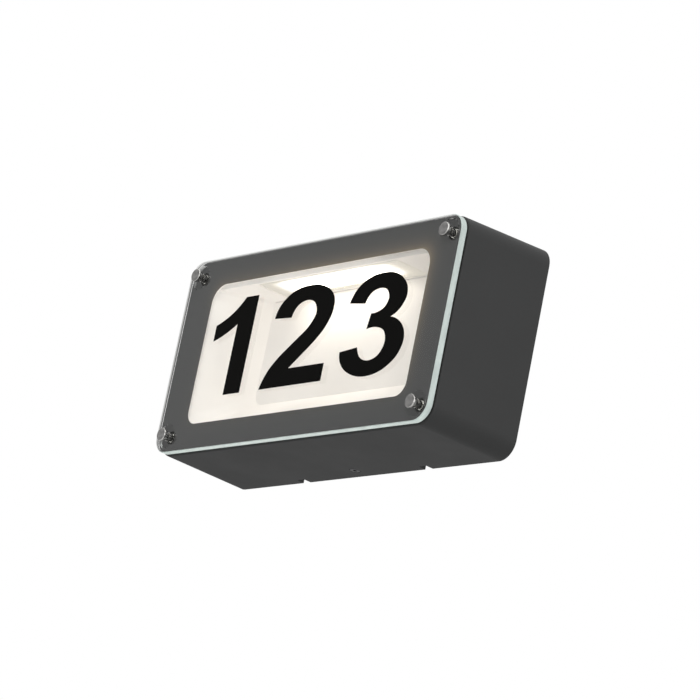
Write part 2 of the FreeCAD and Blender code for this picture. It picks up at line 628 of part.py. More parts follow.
def reflector_tray():
    """White moulded tray behind the window, with sloped sides and a flat ceiling."""
    body = tray_body(RAMP_WALL, TRAY_WALL, TRAY_WALL / 2, TRAY_MOUTH, TRAY_FLOOR)
    body = body.common(mouth_limit(RAMP_WALL, TRAY_FLOOR))
    well = tray_body(0, 0, 0, TRAY_MOUTH, TRAY_FLOOR).common(mouth_limit(0, TRAY_FLOOR))
    step = mouth_limit(0, FRAME_BACK).cut(block((-MOUTH_HALF_X, MOUTH_HALF_X),
                                                (TRAY_MOUTH, FRAME_BACK), (-MOUTH_HALF_Z, 0)))
    floor = slab(MOUTH_HALF_X - TRAY_RAMP + RAMP_WALL, -MOUTH_HALF_Z + TRAY_RAMP - RAMP_WALL,
                 CEILING_TOP, TRAY_BACK_CORNER, TRAY_TOP_CORNER, TRAY_FLOOR, TRAY_REAR)
    collar = mouth_limit(RAMP_WALL, FRAME_BACK + TRAY_WALL / 2)
    flange = even_slab(FRAME_HALF_X + TRAY_FLANGE, FRAME_HALF_Z + TRAY_FLANGE, WINDOW_TOP_CORNER,
                       FRAME_BACK, FLANGE_BACK)
    tray = body.fuse([floor, collar, flange])
    for side in (-1, 1):
        tray = tray.fuse(rod_z(side * CARRIER_SCREW_X, LAMP_MID_Y, CARRIER_BOSS_DIAMETER,
                               CEILING_TOP - TRAY_WALL / 2, LAMP_TOP))
    for x, z in GEAR_FIXINGS:
        tray = tray.fuse(rod_y(x, z, STANDOFF_DIAMETER, TRAY_REAR - TRAY_WALL / 2, GEAR_SEAT))
    tray = tray.cut(well).cut(step)
    half = LAMP_WIDTH / 2 + LAMP_GAP
    tray = tray.cut(block((-half, half), (FLANGE_BACK, LAMP_MID_Y + LAMP_DEPTH / 2 + LAMP_GAP),
                          (CEILING_Z - PAST, CEILING_TOP + PAST)))
    for side in (-1, 1):
        for level in (-1, 1):
            tray = tray.cut(rod_y(side * TRAY_SCREW_OFFSET, level * TRAY_SCREW_Z,
                                  SCREW_SHANK_DIAMETER + 2 * BORE_CLEARANCE,
                                  FRAME_BACK - PAST, FLANGE_BACK + PAST))
        tray = tray.cut(rod_z(side * CARRIER_SCREW_X, LAMP_MID_Y, SCREW_SHANK_DIAMETER,
                              LAMP_TOP - CARRIER_SCREW_GRIP, LAMP_TOP + PAST))
    for x, z in GEAR_FIXINGS:
        tray = tray.cut(rod_y(x, z, SCREW_SHANK_DIAMETER, GEAR_SEAT - STANDOFF_SCREW_GRIP,
                              GEAR_SEAT + PAST))
    return tray


def tray_screws():
    """Screws that hold the tray on the back of the front frame."""
    return group([screw(vec(side * TRAY_SCREW_OFFSET, FLANGE_BACK, level * TRAY_SCREW_Z),
                        vec(0, 1, 0), SCREW_HEAD_DIAMETER, SCREW_HEAD_THICKNESS,
                        SCREW_SHANK_DIAMETER, TRAY_WALL + TRAY_SCREW_GRIP)
                  for side in (-1, 1) for level in (-1, 1)])


def lamp_cover():
    """Opal pan that fills the slot in the ceiling, with a rim at its ends and rear."""
    half = LAMP_WIDTH / 2
    front = LAMP_MID_Y - LAMP_DEPTH / 2
    rear = LAMP_MID_Y + LAMP_DEPTH / 2
    pan = block((-half, half), (front, rear), (CEILING_Z, LAMP_TOP))
    edges = [e for e in pan.Edges if abs(e.BoundBox.ZMax - CEILING_Z) < FLAT]
    pan = pan.makeFillet(LAMP_EDGE_ROUND, edges)
    rim = block((-half - LAMP_RIM, half + LAMP_RIM), (front, rear + LAMP_RIM),
                (CEILING_TOP, CEILING_TOP + LAMP_RIM))
    hollow = block((-half + LAMP_WALL, half - LAMP_WALL), (front + LAMP_WALL, rear - LAMP_WALL),
                   (CEILING_Z + LAMP_WALL, LAMP_TOP + PAST))
    return pan.fuse(rim).removeSplitter().cut(hollow)


def led_board():
    """Aluminium strip board under the carrier."""
    half = LED_BOARD_WIDTH / 2
    return block((-half, half),
                 (LAMP_MID_Y - LED_BOARD_DEPTH / 2, LAMP_MID_Y + LED_BOARD_DEPTH / 2),
                 (LAMP_TOP - LED_BOARD_THICKNESS, LAMP_TOP))


def led_chips():
    """Row of light chips that shine down into the cover."""
    pitch = LED_BOARD_WIDTH / LED_COUNT
    top = LAMP_TOP - LED_BOARD_THICKNESS
    chips = []
    for index in range(LED_COUNT):
        x = (index - (LED_COUNT - 1) / 2) * pitch
        chips.append(block((x - LED_LENGTH / 2, x + LED_LENGTH / 2),
                           (LAMP_MID_Y - LED_WIDTH / 2, LAMP_MID_Y + LED_WIDTH / 2),
                           (top - LED_HEIGHT, top)))
    return group(chips)


def lamp_carrier():
    """Aluminium plate that carries the board and clamps the cover on the tray."""
    half = LAMP_WIDTH / 2 + CARRIER_OVERHANG
    plate = block((-half, half),
                  (LAMP_MID_Y - LAMP_DEPTH / 2 + LAMP_GAP, LAMP_MID_Y + LAMP_DEPTH / 2),
                  (LAMP_TOP, CARRIER_TOP))
    for side in (-1, 1):
        plate = plate.cut(rod_z(side * CARRIER_SCREW_X, LAMP_MID_Y,
                                SCREW_SHANK_DIAMETER + 2 * BORE_CLEARANCE,
                                LAMP_TOP - PAST, CARRIER_TOP + PAST))
    for x in LED_LEAD_X:
        plate = plate.cut(rod_z(x, LAMP_MID_Y, LEAD_DIAMETER + 2 * BORE_CLEARANCE,
                                LAMP_TOP - PAST, CARRIER_TOP + PAST))
    return plate


def carrier_screws():
    """Two screws through the carrier into the tray."""
    return group([screw(vec(side * CARRIER_SCREW_X, LAMP_MID_Y, CARRIER_TOP), vec(0, 0, 1),
                        SCREW_HEAD_DIAMETER, SCREW_HEAD_THICKNESS, SCREW_SHANK_DIAMETER,
                        CARRIER_THICKNESS + CARRIER_SCREW_GRIP) for side in (-1, 1)])


# ------------------------------------------------------------------ driver and wiring
def driver_case():
    """Plastic box of the LED driver, open at the rear, with two screw ears."""
    case = block((DRIVER_LEFT, DRIVER_RIGHT), (GEAR_SEAT, DRIVER_REAR - DRIVER_WALL),
                 (DRIVER_BOTTOM, DRIVER_TOP))
    ears = [block((x - DRIVER_EAR, x + DRIVER_EAR),
                  (GEAR_SEAT, GEAR_SEAT + DRIVER_EAR_THICKNESS),
                  (z - DRIVER_EAR / 2, z + DRIVER_EAR / 2)) for x, z in DRIVER_EARS]
    case = case.fuse(ears).removeSplitter()
    left = DRIVER_LEFT + DRIVER_WALL
    right = DRIVER_RIGHT - DRIVER_WALL
    low = DRIVER_BOTTOM + DRIVER_WALL
    high = DRIVER_TOP - DRIVER_WALL
    floor = GEAR_SEAT + DRIVER_WALL
    case = case.cut(block((left, right), (floor, DRIVER_REAR), (low, high)))
    for x_span in ((left, left + DRIVER_POST_SIZE), (right - DRIVER_POST_SIZE, right)):
        for z_span in ((low, low + DRIVER_POST_SIZE), (high - DRIVER_POST_SIZE, high)):
            case = case.fuse(block(x_span, (floor, floor + DRIVER_POST_HEIGHT), z_span))
    for x, z in DRIVER_EARS:
        case = case.cut(rod_y(x, z, SCREW_SHANK_DIAMETER + 2 * BORE_CLEARANCE,
                              GEAR_SEAT - PAST, GEAR_SEAT + DRIVER_EAR_THICKNESS + PAST))
    return case.removeSplitter()


def driver_lid():
    """Flat lid with a step that drops into the driver case."""
    lid = block((DRIVER_LEFT, DRIVER_RIGHT), (DRIVER_REAR - DRIVER_WALL, DRIVER_REAR),
                (DRIVER_BOTTOM, DRIVER_TOP))
    inset = DRIVER_WALL + BORE_CLEARANCE
    step = block((DRIVER_LEFT + inset, DRIVER_RIGHT - inset),
                 (DRIVER_REAR - 2 * DRIVER_WALL, DRIVER_REAR - DRIVER_WALL),
                 (DRIVER_BOTTOM + inset, DRIVER_TOP - inset))
    return lid.fuse(step).removeSplitter()


def driver_board():
    """Circuit board on the posts of the case, with a transformer and two capacitors."""
    inset = DRIVER_WALL + DRIVER_BOARD_GAP
    bottom = GEAR_SEAT + DRIVER_WALL + DRIVER_POST_HEIGHT
    top = bottom + DRIVER_BOARD_THICKNESS
    room = DRIVER_REAR - 2 * DRIVER_WALL - DRIVER_BOARD_GAP - top
    board = block((DRIVER_LEFT + inset, DRIVER_RIGHT - inset), (bottom, top),
                  (DRIVER_BOTTOM + inset, DRIVER_TOP - inset))
    middle_x = (DRIVER_LEFT + DRIVER_RIGHT) / 2
    middle_z = (DRIVER_BOTTOM + DRIVER_TOP) / 2
    coil = COIL_SIZE / 2
    board = board.fuse(block((middle_x - coil, middle_x + coil), (top, top + room),
                             (middle_z - coil, middle_z + coil)))
    for side in (-1, 1):
        board = board.fuse(rod_y(middle_x + side * CAPACITOR_OFFSET, middle_z,
                                 CAPACITOR_DIAMETER, top, top + room - CAPACITOR_GAP))
    return board


def gear_screws():
    """Screws of the driver ears and of the terminal block, into the posts of the tray."""
    clamped = [(x, z, DRIVER_EAR_THICKNESS) for x, z in DRIVER_EARS]
    clamped += [(x, z, TERMINAL_BASE) for x, z in TERMINAL_FIXINGS]
    return group([screw(vec(x, GEAR_SEAT + thickness, z), vec(0, 1, 0), SCREW_HEAD_DIAMETER,
                        SCREW_HEAD_THICKNESS, SCREW_SHANK_DIAMETER,
                        thickness + STANDOFF_SCREW_GRIP) for x, z, thickness in clamped])


def terminal_block():
    """Three towers a side on one body, with bores for the wires and for the screws."""
    right = TERMINAL_LEFT + TERMINAL_PITCH * TERMINAL_POLES
    body = block((TERMINAL_LEFT, right), (GEAR_SEAT, TERMINAL_REAR),
                 (TERMINAL_BOTTOM, TERMINAL_TOP))
    for x, z in TERMINAL_SCREWS:
        body = body.fuse(rod_y(x, z, TERMINAL_TOWER_DIAMETER, TERMINAL_REAR - PAST,
                               TERMINAL_REAR + TERMINAL_TOWER_HEIGHT))
    for x, z in TERMINAL_SCREWS:
        body = body.cut(rod_y(x, z, TERMINAL_SCREW_DIAMETER + 2 * BORE_CLEARANCE,
                              TERMINAL_AXIS_Y, TERMINAL_REAR + TERMINAL_TOWER_HEIGHT + PAST))
    for x in TERMINAL_X:
        body = body.cut(rod_z(x, TERMINAL_AXIS_Y, TERMINAL_TUBE_DIAMETER,
                              TERMINAL_BOTTOM - PAST, TERMINAL_TOP + PAST))
    for x, z in TERMINAL_FIXINGS:
        body = body.cut(rod_y(x, z, SCREW_SHANK_DIAMETER + 2 * BORE_CLEARANCE,
                              GEAR_SEAT - PAST, TERMINAL_REAR + PAST))
        body = body.cut(rod_y(x, z, SCREW_HEAD_DIAMETER + 2 * BORE_CLEARANCE,
                              GEAR_SEAT + TERMINAL_BASE, TERMINAL_REAR + PAST))
    return body


def terminal_tubes():
    """Brass tube of each pole, pierced for its two screws."""
    tubes = []
    for x in TERMINAL_X:
        low = TERMINAL_BOTTOM + TERMINAL_TUBE_INSET
        high = TERMINAL_TOP - TERMINAL_TUBE_INSET
        tube = rod_z(x, TERMINAL_AXIS_Y, TERMINAL_TUBE_DIAMETER, low, high)
        tube = tube.cut(rod_z(x, TERMINAL_AXIS_Y, TERMINAL_TUBE_BORE, low - PAST, high + PAST))
        for screw_x, z in TERMINAL_SCREWS:
            if screw_x == x:
                tube = tube.cut(rod_y(x, z, TERMINAL_SCREW_DIAMETER + 2 * THREAD_CLEARANCE,
                                      TERMINAL_AXIS_Y, TERMINAL_REAR))
        tubes.append(tube)
    return group(tubes)


def terminal_screws():
    """Clamping screws of the terminal block."""
    tip = TERMINAL_AXIS_Y + LEAD_DIAMETER / 2 + THREAD_CLEARANCE
    top = TERMINAL_REAR + TERMINAL_TOWER_HEIGHT - TERMINAL_SCREW_SINK
    screws = []
    for x, z in TERMINAL_SCREWS:
        body = rod_y(x, z, TERMINAL_SCREW_DIAMETER, tip, top)
        screws.append(body.cut(block((x - TERMINAL_SCREW_DIAMETER, x + TERMINAL_SCREW_DIAMETER),
                                     (top - TERMINAL_SLOT, top + PAST),
                                     (z - TERMINAL_SLOT / 2, z + TERMINAL_SLOT / 2))))
    return group(screws)


def supply_lead(pole):
    """Lead from the top of one pole to the right end of the driver."""
    height = TERMINAL_TOP + SUPPLY_RISE[pole]
    return lead([vec(TERMINAL_X[pole], TERMINAL_AXIS_Y, TERMINAL_TOP - LEAD_STRIP),
                 vec(TERMINAL_X[pole], TERMINAL_AXIS_Y, height),
                 vec(DRIVER_RIGHT, TERMINAL_AXIS_Y, height)], LEAD_DIAMETER, LEAD_BEND)


def lamp_lead(index):
    """Lead from the top of the driver over the carrier and down to the light board."""
    x = LED_LEAD_X[index]
    crest = CARRIER_TOP + LED_LEAD_RISE
    return lead([vec(x, DRIVER_MID_Y, DRIVER_TOP), vec(x, DRIVER_MID_Y, crest),
                 vec(x, LAMP_MID_Y, crest), vec(x, LAMP_MID_Y, LAMP_TOP)],
                LEAD_DIAMETER, LEAD_BEND)


def earth_barrel_front():
    """Depth where the crimp barrel of the earth lug starts."""
    return EARTH_Y + EARTH_LUG_DIAMETER / 2 + EARTH_LUG_THICKNESS


def earth_lead():
    """Lead from the third pole down to the crimp barrel of the earth lug."""
    level = EARTH_SEAT + EARTH_BARREL_DIAMETER / 2
    x = TERMINAL_X[-1]
    return lead([vec(x, TERMINAL_AXIS_Y, TERMINAL_BOTTOM + LEAD_STRIP),
                 vec(x, TERMINAL_AXIS_Y, level),
                 vec(x, earth_barrel_front() + EARTH_LUG_THICKNESS, level)],
                LEAD_DIAMETER, LEAD_BEND)


def earth_lug():
    """Ring lug with a crimp barrel, flat on the earth boss."""
    front = earth_barrel_front()
    level = EARTH_SEAT + EARTH_BARREL_DIAMETER / 2
    ring = rod_z(EARTH_X, EARTH_Y, EARTH_LUG_DIAMETER, EARTH_SEAT, EARTH_SEAT + EARTH_LUG_THICKNESS)
    tongue = block((EARTH_X - EARTH_BARREL_DIAMETER / 2, EARTH_X + EARTH_BARREL_DIAMETER / 2),
                   (EARTH_Y, front + EARTH_LUG_THICKNESS),
                   (EARTH_SEAT, EARTH_SEAT + EARTH_LUG_THICKNESS))
    barrel = rod_y(EARTH_X, level, EARTH_BARREL_DIAMETER, front, front + EARTH_BARREL_LENGTH)
    lug = ring.fuse([tongue, barrel])
    lug = lug.cut(rod_z(EARTH_X, EARTH_Y, EARTH_SCREW_DIAMETER + 2 * BORE_CLEARANCE,
                        EARTH_SEAT - PAST, EARTH_SEAT + EARTH_LUG_THICKNESS + PAST))
    return lug.cut(rod_y(EARTH_X, level, LEAD_DIAMETER + 2 * THREAD_CLEARANCE,
                         front + EARTH_LUG_THICKNESS, front + EARTH_BARREL_LENGTH + PAST))


def earth_screw():
    """Screw that clamps the lug on its boss."""
    return screw(vec(EARTH_X, EARTH_Y, EARTH_SEAT + EARTH_LUG_THICKNESS), vec(0, 0, 1),
                 EARTH_HEAD_DIAMETER, EARTH_HEAD_THICKNESS, EARTH_SCREW_DIAMETER,
                 EARTH_LUG_THICKNESS + EARTH_SCREW_GRIP)


# ------------------------------------------------------------------ wall plate
def wall_plate():
    """Sheet steel plate with slots, a cable hole and flanges under and over the housing."""
    half = REAR_HALF_X - HOUSING_WALL - PLATE_SIDE_GAP
    plate = slab(half, PLATE_BOTTOM, PLATE_TOP, PLATE_CORNER, PLATE_CORNER, -PLATE_THICKNESS, 0)
    run = half - PLATE_CORNER
    top = block((-run, run), (-PLATE_TOP_FLANGE, 0), (PLATE_TOP - PLATE_THICKNESS, PLATE_TOP))
    bottom = block((-run, run), (-PLATE_BOTTOM_FLANGE, 0),
                   (PLATE_BOTTOM, PLATE_BOTTOM + PLATE_THICKNESS))
    plate = plate.fuse([top, bottom]).removeSplitter()
    straight = (SLOT_LENGTH - SLOT_WIDTH) / 2
    for side in (-1, 1):
        for level in (-1, 1):
            x = side * SLOT_SPACING_X / 2
            z = level * SLOT_SPACING_Z / 2
            plate = plate.cut(block((x - straight, x + straight), (-PLATE_THICKNESS - PAST, PAST),
                                    (z - SLOT_WIDTH / 2, z + SLOT_WIDTH / 2)))
            for end in (-1, 1):
                plate = plate.cut(rod_y(x + end * straight, z, SLOT_WIDTH,
                                        -PLATE_THICKNESS - PAST, PAST))
    return plate.cut(rod_y(0, 0, GROMMET_HOLE_DIAMETER, -PLATE_THICKNESS - PAST, PAST))


def cable_grommet():
    """Rubber entry in the middle of the wall plate for the cable in the wall."""
    bore = GROMMET_BORE_DIAMETER / 2
    neck = GROMMET_HOLE_DIAMETER / 2 - THREAD_CLEARANCE
    flange_back = -PLATE_THICKNESS
    flange_front = flange_back - GROMMET_FLANGE_THICKNESS
    nose = flange_front - GROMMET_NOSE_LENGTH
    return turned_y(0, 0, [
        (bore, nose),
        (GROMMET_NOSE_DIAMETER / 2, nose),
        (neck - GROMMET_SHOULDER, flange_front),
        (GROMMET_FLANGE_DIAMETER / 2, flange_front),
        (GROMMET_FLANGE_DIAMETER / 2, flange_back),
        (neck, flange_back),
        (neck, 0),
        (bore, 0),
    ])


# ------------------------------------------------------------------ all pieces
PIECES = {
    "front_glass": front_glass,
    "border_print": border_print,
    "numeral_one": numeral_one,
    "numeral_two": numeral_two,
    "numeral_three": numeral_three,
    "cap_screws": cap_screws,
    "screw_spacers": screw_spacers,
    "housing": housing,
    "threaded_inserts": threaded_inserts,
    "glass_gasket": glass_gasket,
    "lock_nut": lock_nut,
    "locking_screw": locking_screw,
    "reflector_tray": reflector_tray,
    "tray_screws": tray_screws,
    "lamp_cover": lamp_cover,
    "led_board": led_board,
    "led_chips": led_chips,
    "lamp_carrier": lamp_carrier,
    "carrier_screws": carrier_screws,
    "driver_case": driver_case,
    "driver_lid": driver_lid,
    "driver_board": driver_board,
    "gear_screws": gear_screws,
    "terminal_block": terminal_block,
    "terminal_tubes": terminal_tubes,
    "terminal_screws": terminal_screws,
    "live_lead": lambda: supply_lead(0),
    "neutral_lead": lambda: supply_lead(1),
    "earth_lead": earth_lead,
    "lamp_lead_plus": lambda: lamp_lead(0),
    "lamp_lead_minus": lambda: lamp_lead(1),
    "earth_lug": earth_lug,
    "earth_screw": earth_screw,
    "wall_plate": wall_plate,
    "cable_grommet": cable_grommet,
}


def main():
    """Build every piece and write it under its name."""
    os.makedirs("parts", exist_ok=True)
    for name, make in PIECES.items():
        shape = make()
        print(f"{name:18s} solids {len(shape.Solids)}  volume {shape.Volume:10.1f}"
              f"  valid {shape.isValid()}")
        shape.exportStep(f"parts/{name}.step")


main()
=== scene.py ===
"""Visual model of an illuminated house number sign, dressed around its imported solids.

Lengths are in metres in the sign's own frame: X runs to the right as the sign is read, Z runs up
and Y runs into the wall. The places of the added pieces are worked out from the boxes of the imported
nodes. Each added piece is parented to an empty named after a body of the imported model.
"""
import logging
import math
from dataclasses import dataclass
from enum import Enum
from functools import cached_property

import bmesh
import bpy
from mathutils import Matrix, Vector
from mathutils.geometry import interpolate_bezier, tessellate_polygon


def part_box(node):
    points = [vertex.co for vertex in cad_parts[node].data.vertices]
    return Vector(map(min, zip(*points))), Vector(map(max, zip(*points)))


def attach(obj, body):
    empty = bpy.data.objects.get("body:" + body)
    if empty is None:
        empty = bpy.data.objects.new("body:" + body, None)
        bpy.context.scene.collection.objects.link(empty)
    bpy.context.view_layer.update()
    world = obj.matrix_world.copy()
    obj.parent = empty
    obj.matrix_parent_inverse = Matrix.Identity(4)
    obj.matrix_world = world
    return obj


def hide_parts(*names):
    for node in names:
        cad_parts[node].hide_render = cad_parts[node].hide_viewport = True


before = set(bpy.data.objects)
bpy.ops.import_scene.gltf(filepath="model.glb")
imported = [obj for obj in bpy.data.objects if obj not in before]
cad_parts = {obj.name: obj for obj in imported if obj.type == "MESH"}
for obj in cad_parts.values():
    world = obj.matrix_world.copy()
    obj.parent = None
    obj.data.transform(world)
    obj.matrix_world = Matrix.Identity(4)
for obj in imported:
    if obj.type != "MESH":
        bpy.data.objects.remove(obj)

Colour = tuple[float, float, float]
Point = tuple[float, float, float]
Range = tuple[float, float]
Profile = list[tuple[float, float]]
Shape = tuple[list[Vector], list[tuple[int, ...]]]
Socket = bpy.types.NodeSocket

log = logging.getLogger("house_number_sign")
MM = 0.001
FULL_TURN = 2 * math.pi
GLASS_IOR = 1.50
WHITE: Colour = (1.0, 1.0, 1.0)
EVEN: Point = (1.0, 1.0, 1.0)
WHOLE: Range = (0.0, 1.0)
NOISE: Range = (0.3, 0.7)
NOISE_ROUGHNESS = 0.6
RING_SCALE = 0.3
RING_WANDER = 0.6
RING_DETAIL = 2.0
TOUCHING = 1e-6
PACKED_HEAD_RADIUS = 4.5 * MM


# ---------------------------------------------------------------------------- node helper
class NodeSheet:
    """Node tree of a material or the world, with short calls for the nodes that finishes share."""

    def __init__(self, name: str, of_world: bool = False) -> None:
        """Start an empty sheet.

        Args:
            name: name of the material or the world.
            of_world: makes a world, not a material.
        """
        self.owner = (bpy.data.worlds if of_world else bpy.data.materials).new(name)
        self.owner.use_nodes = True
        self.tree = self.owner.node_tree
        self.tree.nodes.clear()
        self.output = self.tree.nodes.new(
            "ShaderNodeOutputWorld" if of_world else "ShaderNodeOutputMaterial")

    @cached_property
    def place(self) -> Socket:
        """Place on the piece, in the piece's own frame."""
        return self.node("ShaderNodeTexCoord").outputs["Object"]

    def feed(self, socket: Socket, value: object) -> None:
        """Link a socket to an input, or set a plain value on it.

        Args:
            socket: the input to feed.
            value: an output socket, a number, or a colour of three numbers.
        """
        if isinstance(value, bpy.types.NodeSocket):
            self.tree.links.new(value, socket)
        elif isinstance(value, tuple) and socket.type == "RGBA":
            socket.default_value = (*value, 1.0)
        else:
            socket.default_value = value

    def node(self, kind: str, inputs: dict[str, object] | None = None) -> bpy.types.Node:
        """Add a node.

        Args:
            kind: the node's type.
            inputs: values or sockets for its inputs, by name.

        Returns:
            The new node.
        """
        made = self.tree.nodes.new(kind)
        for name, value in (inputs or {}).items():
            self.feed(made.inputs[name], value)
        return made

    def shader(self, kind: str, inputs: dict[str, object]) -> Socket:
        """Add a shader of a kind, with its inputs by name."""
        return self.node(kind, inputs).outputs[0]

    def sum(self, operation: str, *values: object) -> Socket:
        """Work out one number.

        Args:
            operation: the maths node's operation.
            values: its inputs, in order.

        Returns:
            The result's socket.
        """
        made = self.tree.nodes.new("ShaderNodeMath")
        made.operation = operation
        for socket, value in zip(made.inputs, values):
            self.feed(socket, value)
        return made.outputs[0]

    def times(self, first: object, second: object) -> Socket:
        """One number times another."""
        return self.sum("MULTIPLY", first, second)

    def minus(self, first: object, second: object) -> Socket:
        """One number less another."""
        return self.sum("SUBTRACT", first, second)

    def along(self, axis: str) -> Socket:
        """One coordinate of the place on the piece, X, Y or Z."""
        return self.node("ShaderNodeSeparateXYZ", {"Vector": self.place}).outputs[axis]

    def off(self, axis: str, middle: float = 0.0) -> Socket:
        """Distance from a middle along one axis."""
        return self.sum("ABSOLUTE", self.minus(self.along(axis), middle))

    def beyond(self, axis: str, middle: float, half: float) -> Socket:
        """How far the place lies outside a run, given by its middle and half its length."""
        return self.sum("MAXIMUM", self.minus(self.off(axis, middle), half), 0.0)

    def diagonal(self, *sides: Socket) -> Socket:
        """Length of the diagonal of square-set sides.

        Args:
            sides: the lengths of the sides.

        Returns:
            The diagonal's socket.
        """
        total = self.times(sides[0], sides[0])
        for side in sides[1:]:
            total = self.sum("ADD", total, self.times(side, side))
        return self.sum("SQRT", total)

    def ray(self, *kinds: str) -> Socket:
        """Tell rays apart.

        Args:
            kinds: names of the ray tests.

        Returns:
            The socket of one for a ray that passes a test, and zero for others.
        """
        tests = self.node("ShaderNodeLightPath").outputs
        passed = tests[kinds[0]]
        for kind in kinds[1:]:
            passed = self.sum("MAXIMUM", passed, tests[kind])
        return passed

    def grain(self, size: float, detail: float = 2.0, stretch: Point = EVEN) -> Socket:
        """Cloudy noise from 0 to 1.

        Args:
            size: distance from cloud to cloud, in metres.
            detail: how many finer layers are laid over it.
            stretch: how many times closer the clouds lie along each axis.

        Returns:
            The noise's socket.
        """
        scaled = self.node("ShaderNodeVectorMath", {"Vector": self.place})
        scaled.operation = "MULTIPLY"
        scaled.inputs[1].default_value = stretch
        noise = self.node("ShaderNodeTexNoise", {
            "Vector": scaled.outputs[0], "Scale": 1.0 / size, "Detail": detail,
            "Roughness": NOISE_ROUGHNESS})
        return noise.outputs["Fac"]

    def cells(self, size: float) -> Socket:
        """Flat cells, as wide as the size, with a random level each, such as crystals."""
        cell = self.node("ShaderNodeTexVoronoi", {"Vector": self.place, "Scale": 1.0 / size})
        return self.node("ShaderNodeRGBToBW", {"Color": cell.outputs["Color"]}).outputs[0]

    def rings(self, pitch: float) -> Socket:
        """Concentric tool marks about the piece's own Y axis.

        Args:
            pitch: distance from mark to mark, in metres.

        Returns:
            The socket of the marks' height.
        """
        wave = self.node("ShaderNodeTexWave", {
            "Vector": self.place, "Scale": RING_SCALE / pitch, "Distortion": RING_WANDER,
            "Detail": RING_DETAIL})
        wave.wave_type = "RINGS"
        wave.rings_direction = "Y"
        return wave.outputs["Fac"]

    def spread(self, factor: Socket, results: tuple[object, object], span: Range = NOISE) -> Socket:
        """Map a factor to a range of numbers.

        Args:
            factor: the socket to map.
            results: the numbers at the two ends of the span, and past them.
            span: lowest and highest factor that count.

        Returns:
            The mapped number's socket.
        """
        return self.node("ShaderNodeMapRange", {
            "Value": factor, "From Min": span[0], "From Max": span[1], "To Min": results[0],
            "To Max": results[1]}).outputs["Result"]

    def tint(self, factor: Socket, low: Colour, high: Colour, span: Range = NOISE) -> Socket:
        """Map a factor to a blend of two colours.

        Args:
            factor: the socket to map.
            low: colour at the start of the span and under it.
            high: colour at the end of the span and over it.
            span: lowest and highest factor that count.

        Returns:
            The colour's socket.
        """
        ramp = self.node("ShaderNodeValToRGB", {"Fac": factor})
        for stop, place, colour in zip(ramp.color_ramp.elements, span, (low, high)):
            stop.position = place
            stop.color = (*colour, 1.0)
        return ramp.outputs["Color"]

    def shade(self, factor: Socket, colour: Colour, shares: Range, span: Range = NOISE) -> Socket:
        """Map a factor to a colour that runs between two shares of itself."""
        return self.tint(factor, darker(colour, shares[0]), darker(colour, shares[1]), span)

    def mix(self, share: object, first: object, second: object) -> Socket:
        """Mix two colours.

        Args:
            share: how much of the second one shows.
            first: the colour that shows where the share is zero.
            second: the colour that shows where the share is one.

        Returns:
            The mixed colour's socket.
        """
        mixed = self.node("ShaderNodeMix")
        mixed.data_type = "RGBA"
        for name, value in (("Factor", share), ("A", first), ("B", second)):
            self.feed(mixed.inputs[name], value)
        return mixed.outputs["Result"]

    def relief(self, height: Socket, depth: float, under: Socket | None = None) -> Socket:
        """Raise the surface by a height pattern.

        Args:
            height: pattern from 0 to 1.
            depth: height of the pattern, in metres.
            under: normal of the relief below it.

        Returns:
            The normal's socket.
        """
        bump = self.node("ShaderNodeBump", {"Height": height, "Distance": depth, "Strength": 1.0})
        if under is not None:
            self.feed(bump.inputs["Normal"], under)
        return bump.outputs["Normal"]

    def blend(self, share: object, first: Socket, second: Socket) -> Socket:
        """Blend two shaders.

        Args:
            share: how much of the second one shows, as a number or a socket.
            first: the shader that shows where the share is zero.
            second: the shader that shows where the share is one.

        Returns:
            The blend's socket.
        """
        mixed = self.node("ShaderNodeMixShader", {"Fac": share})
        self.feed(mixed.inputs[1], first)
        self.feed(mixed.inputs[2], second)
        return mixed.outputs[0]

    def cover(self, shader: Socket) -> bpy.types.Material | bpy.types.World:
        """Make a shader the surface and hand the material or the world over."""
        self.feed(self.output.inputs["Surface"], shader)
        return self.owner

    def surface(self, inputs: dict[str, object]) -> bpy.types.Material:
        """Make one plain shader, with its inputs by name, the surface."""
        return self.cover(self.shader("ShaderNodeBsdfPrincipled", inputs))


def darker(colour: Colour, share: float) -> Colour:
    """A colour times a share."""
    return tuple(channel * share for channel in colour)


# ---------------------------------------------------------------------------- finishes
@dataclass(frozen=True)
class PowderCoat:
    """Fine anthracite powder coat on a casting."""

    name: str = "anthracite_powder_coat"
    colour: Colour = (0.0375, 0.0380, 0.0380)
    cloud: float = 55 * MM
    cloud_shades: Range = (0.90, 1.12)
    grit: float = 0.28 * MM
    grit_shades: Range = (0.80, 1.25)
    grit_span: Range = (0.35, 0.65)
    grit_share: float = 0.35
    grit_height: float = 0.010 * MM
    peel: float = 1.6 * MM
    peel_height: float = 0.012 * MM
    roughness: Range = (0.52, 0.62)
    gloss: float = 0.2

    def make(self) -> bpy.types.Material:
        """Build the material.

        Returns:
            The material.
        """
        sheet = NodeSheet(self.name)
        clouds = sheet.grain(self.cloud, detail=3.0)
        grit = sheet.grain(self.grit, detail=1.0)
        speck = sheet.shade(grit, self.colour, self.grit_shades, self.grit_span)
        peel = sheet.relief(sheet.grain(self.peel, detail=1.0), self.peel_height)
        return sheet.surface({
            "Base Color": sheet.mix(
                self.grit_share, sheet.shade(clouds, self.colour, self.cloud_shades), speck),
            "Roughness": sheet.spread(clouds, self.roughness), "Specular IOR Level": self.gloss,
            "Normal": sheet.relief(grit, self.grit_height, peel)})


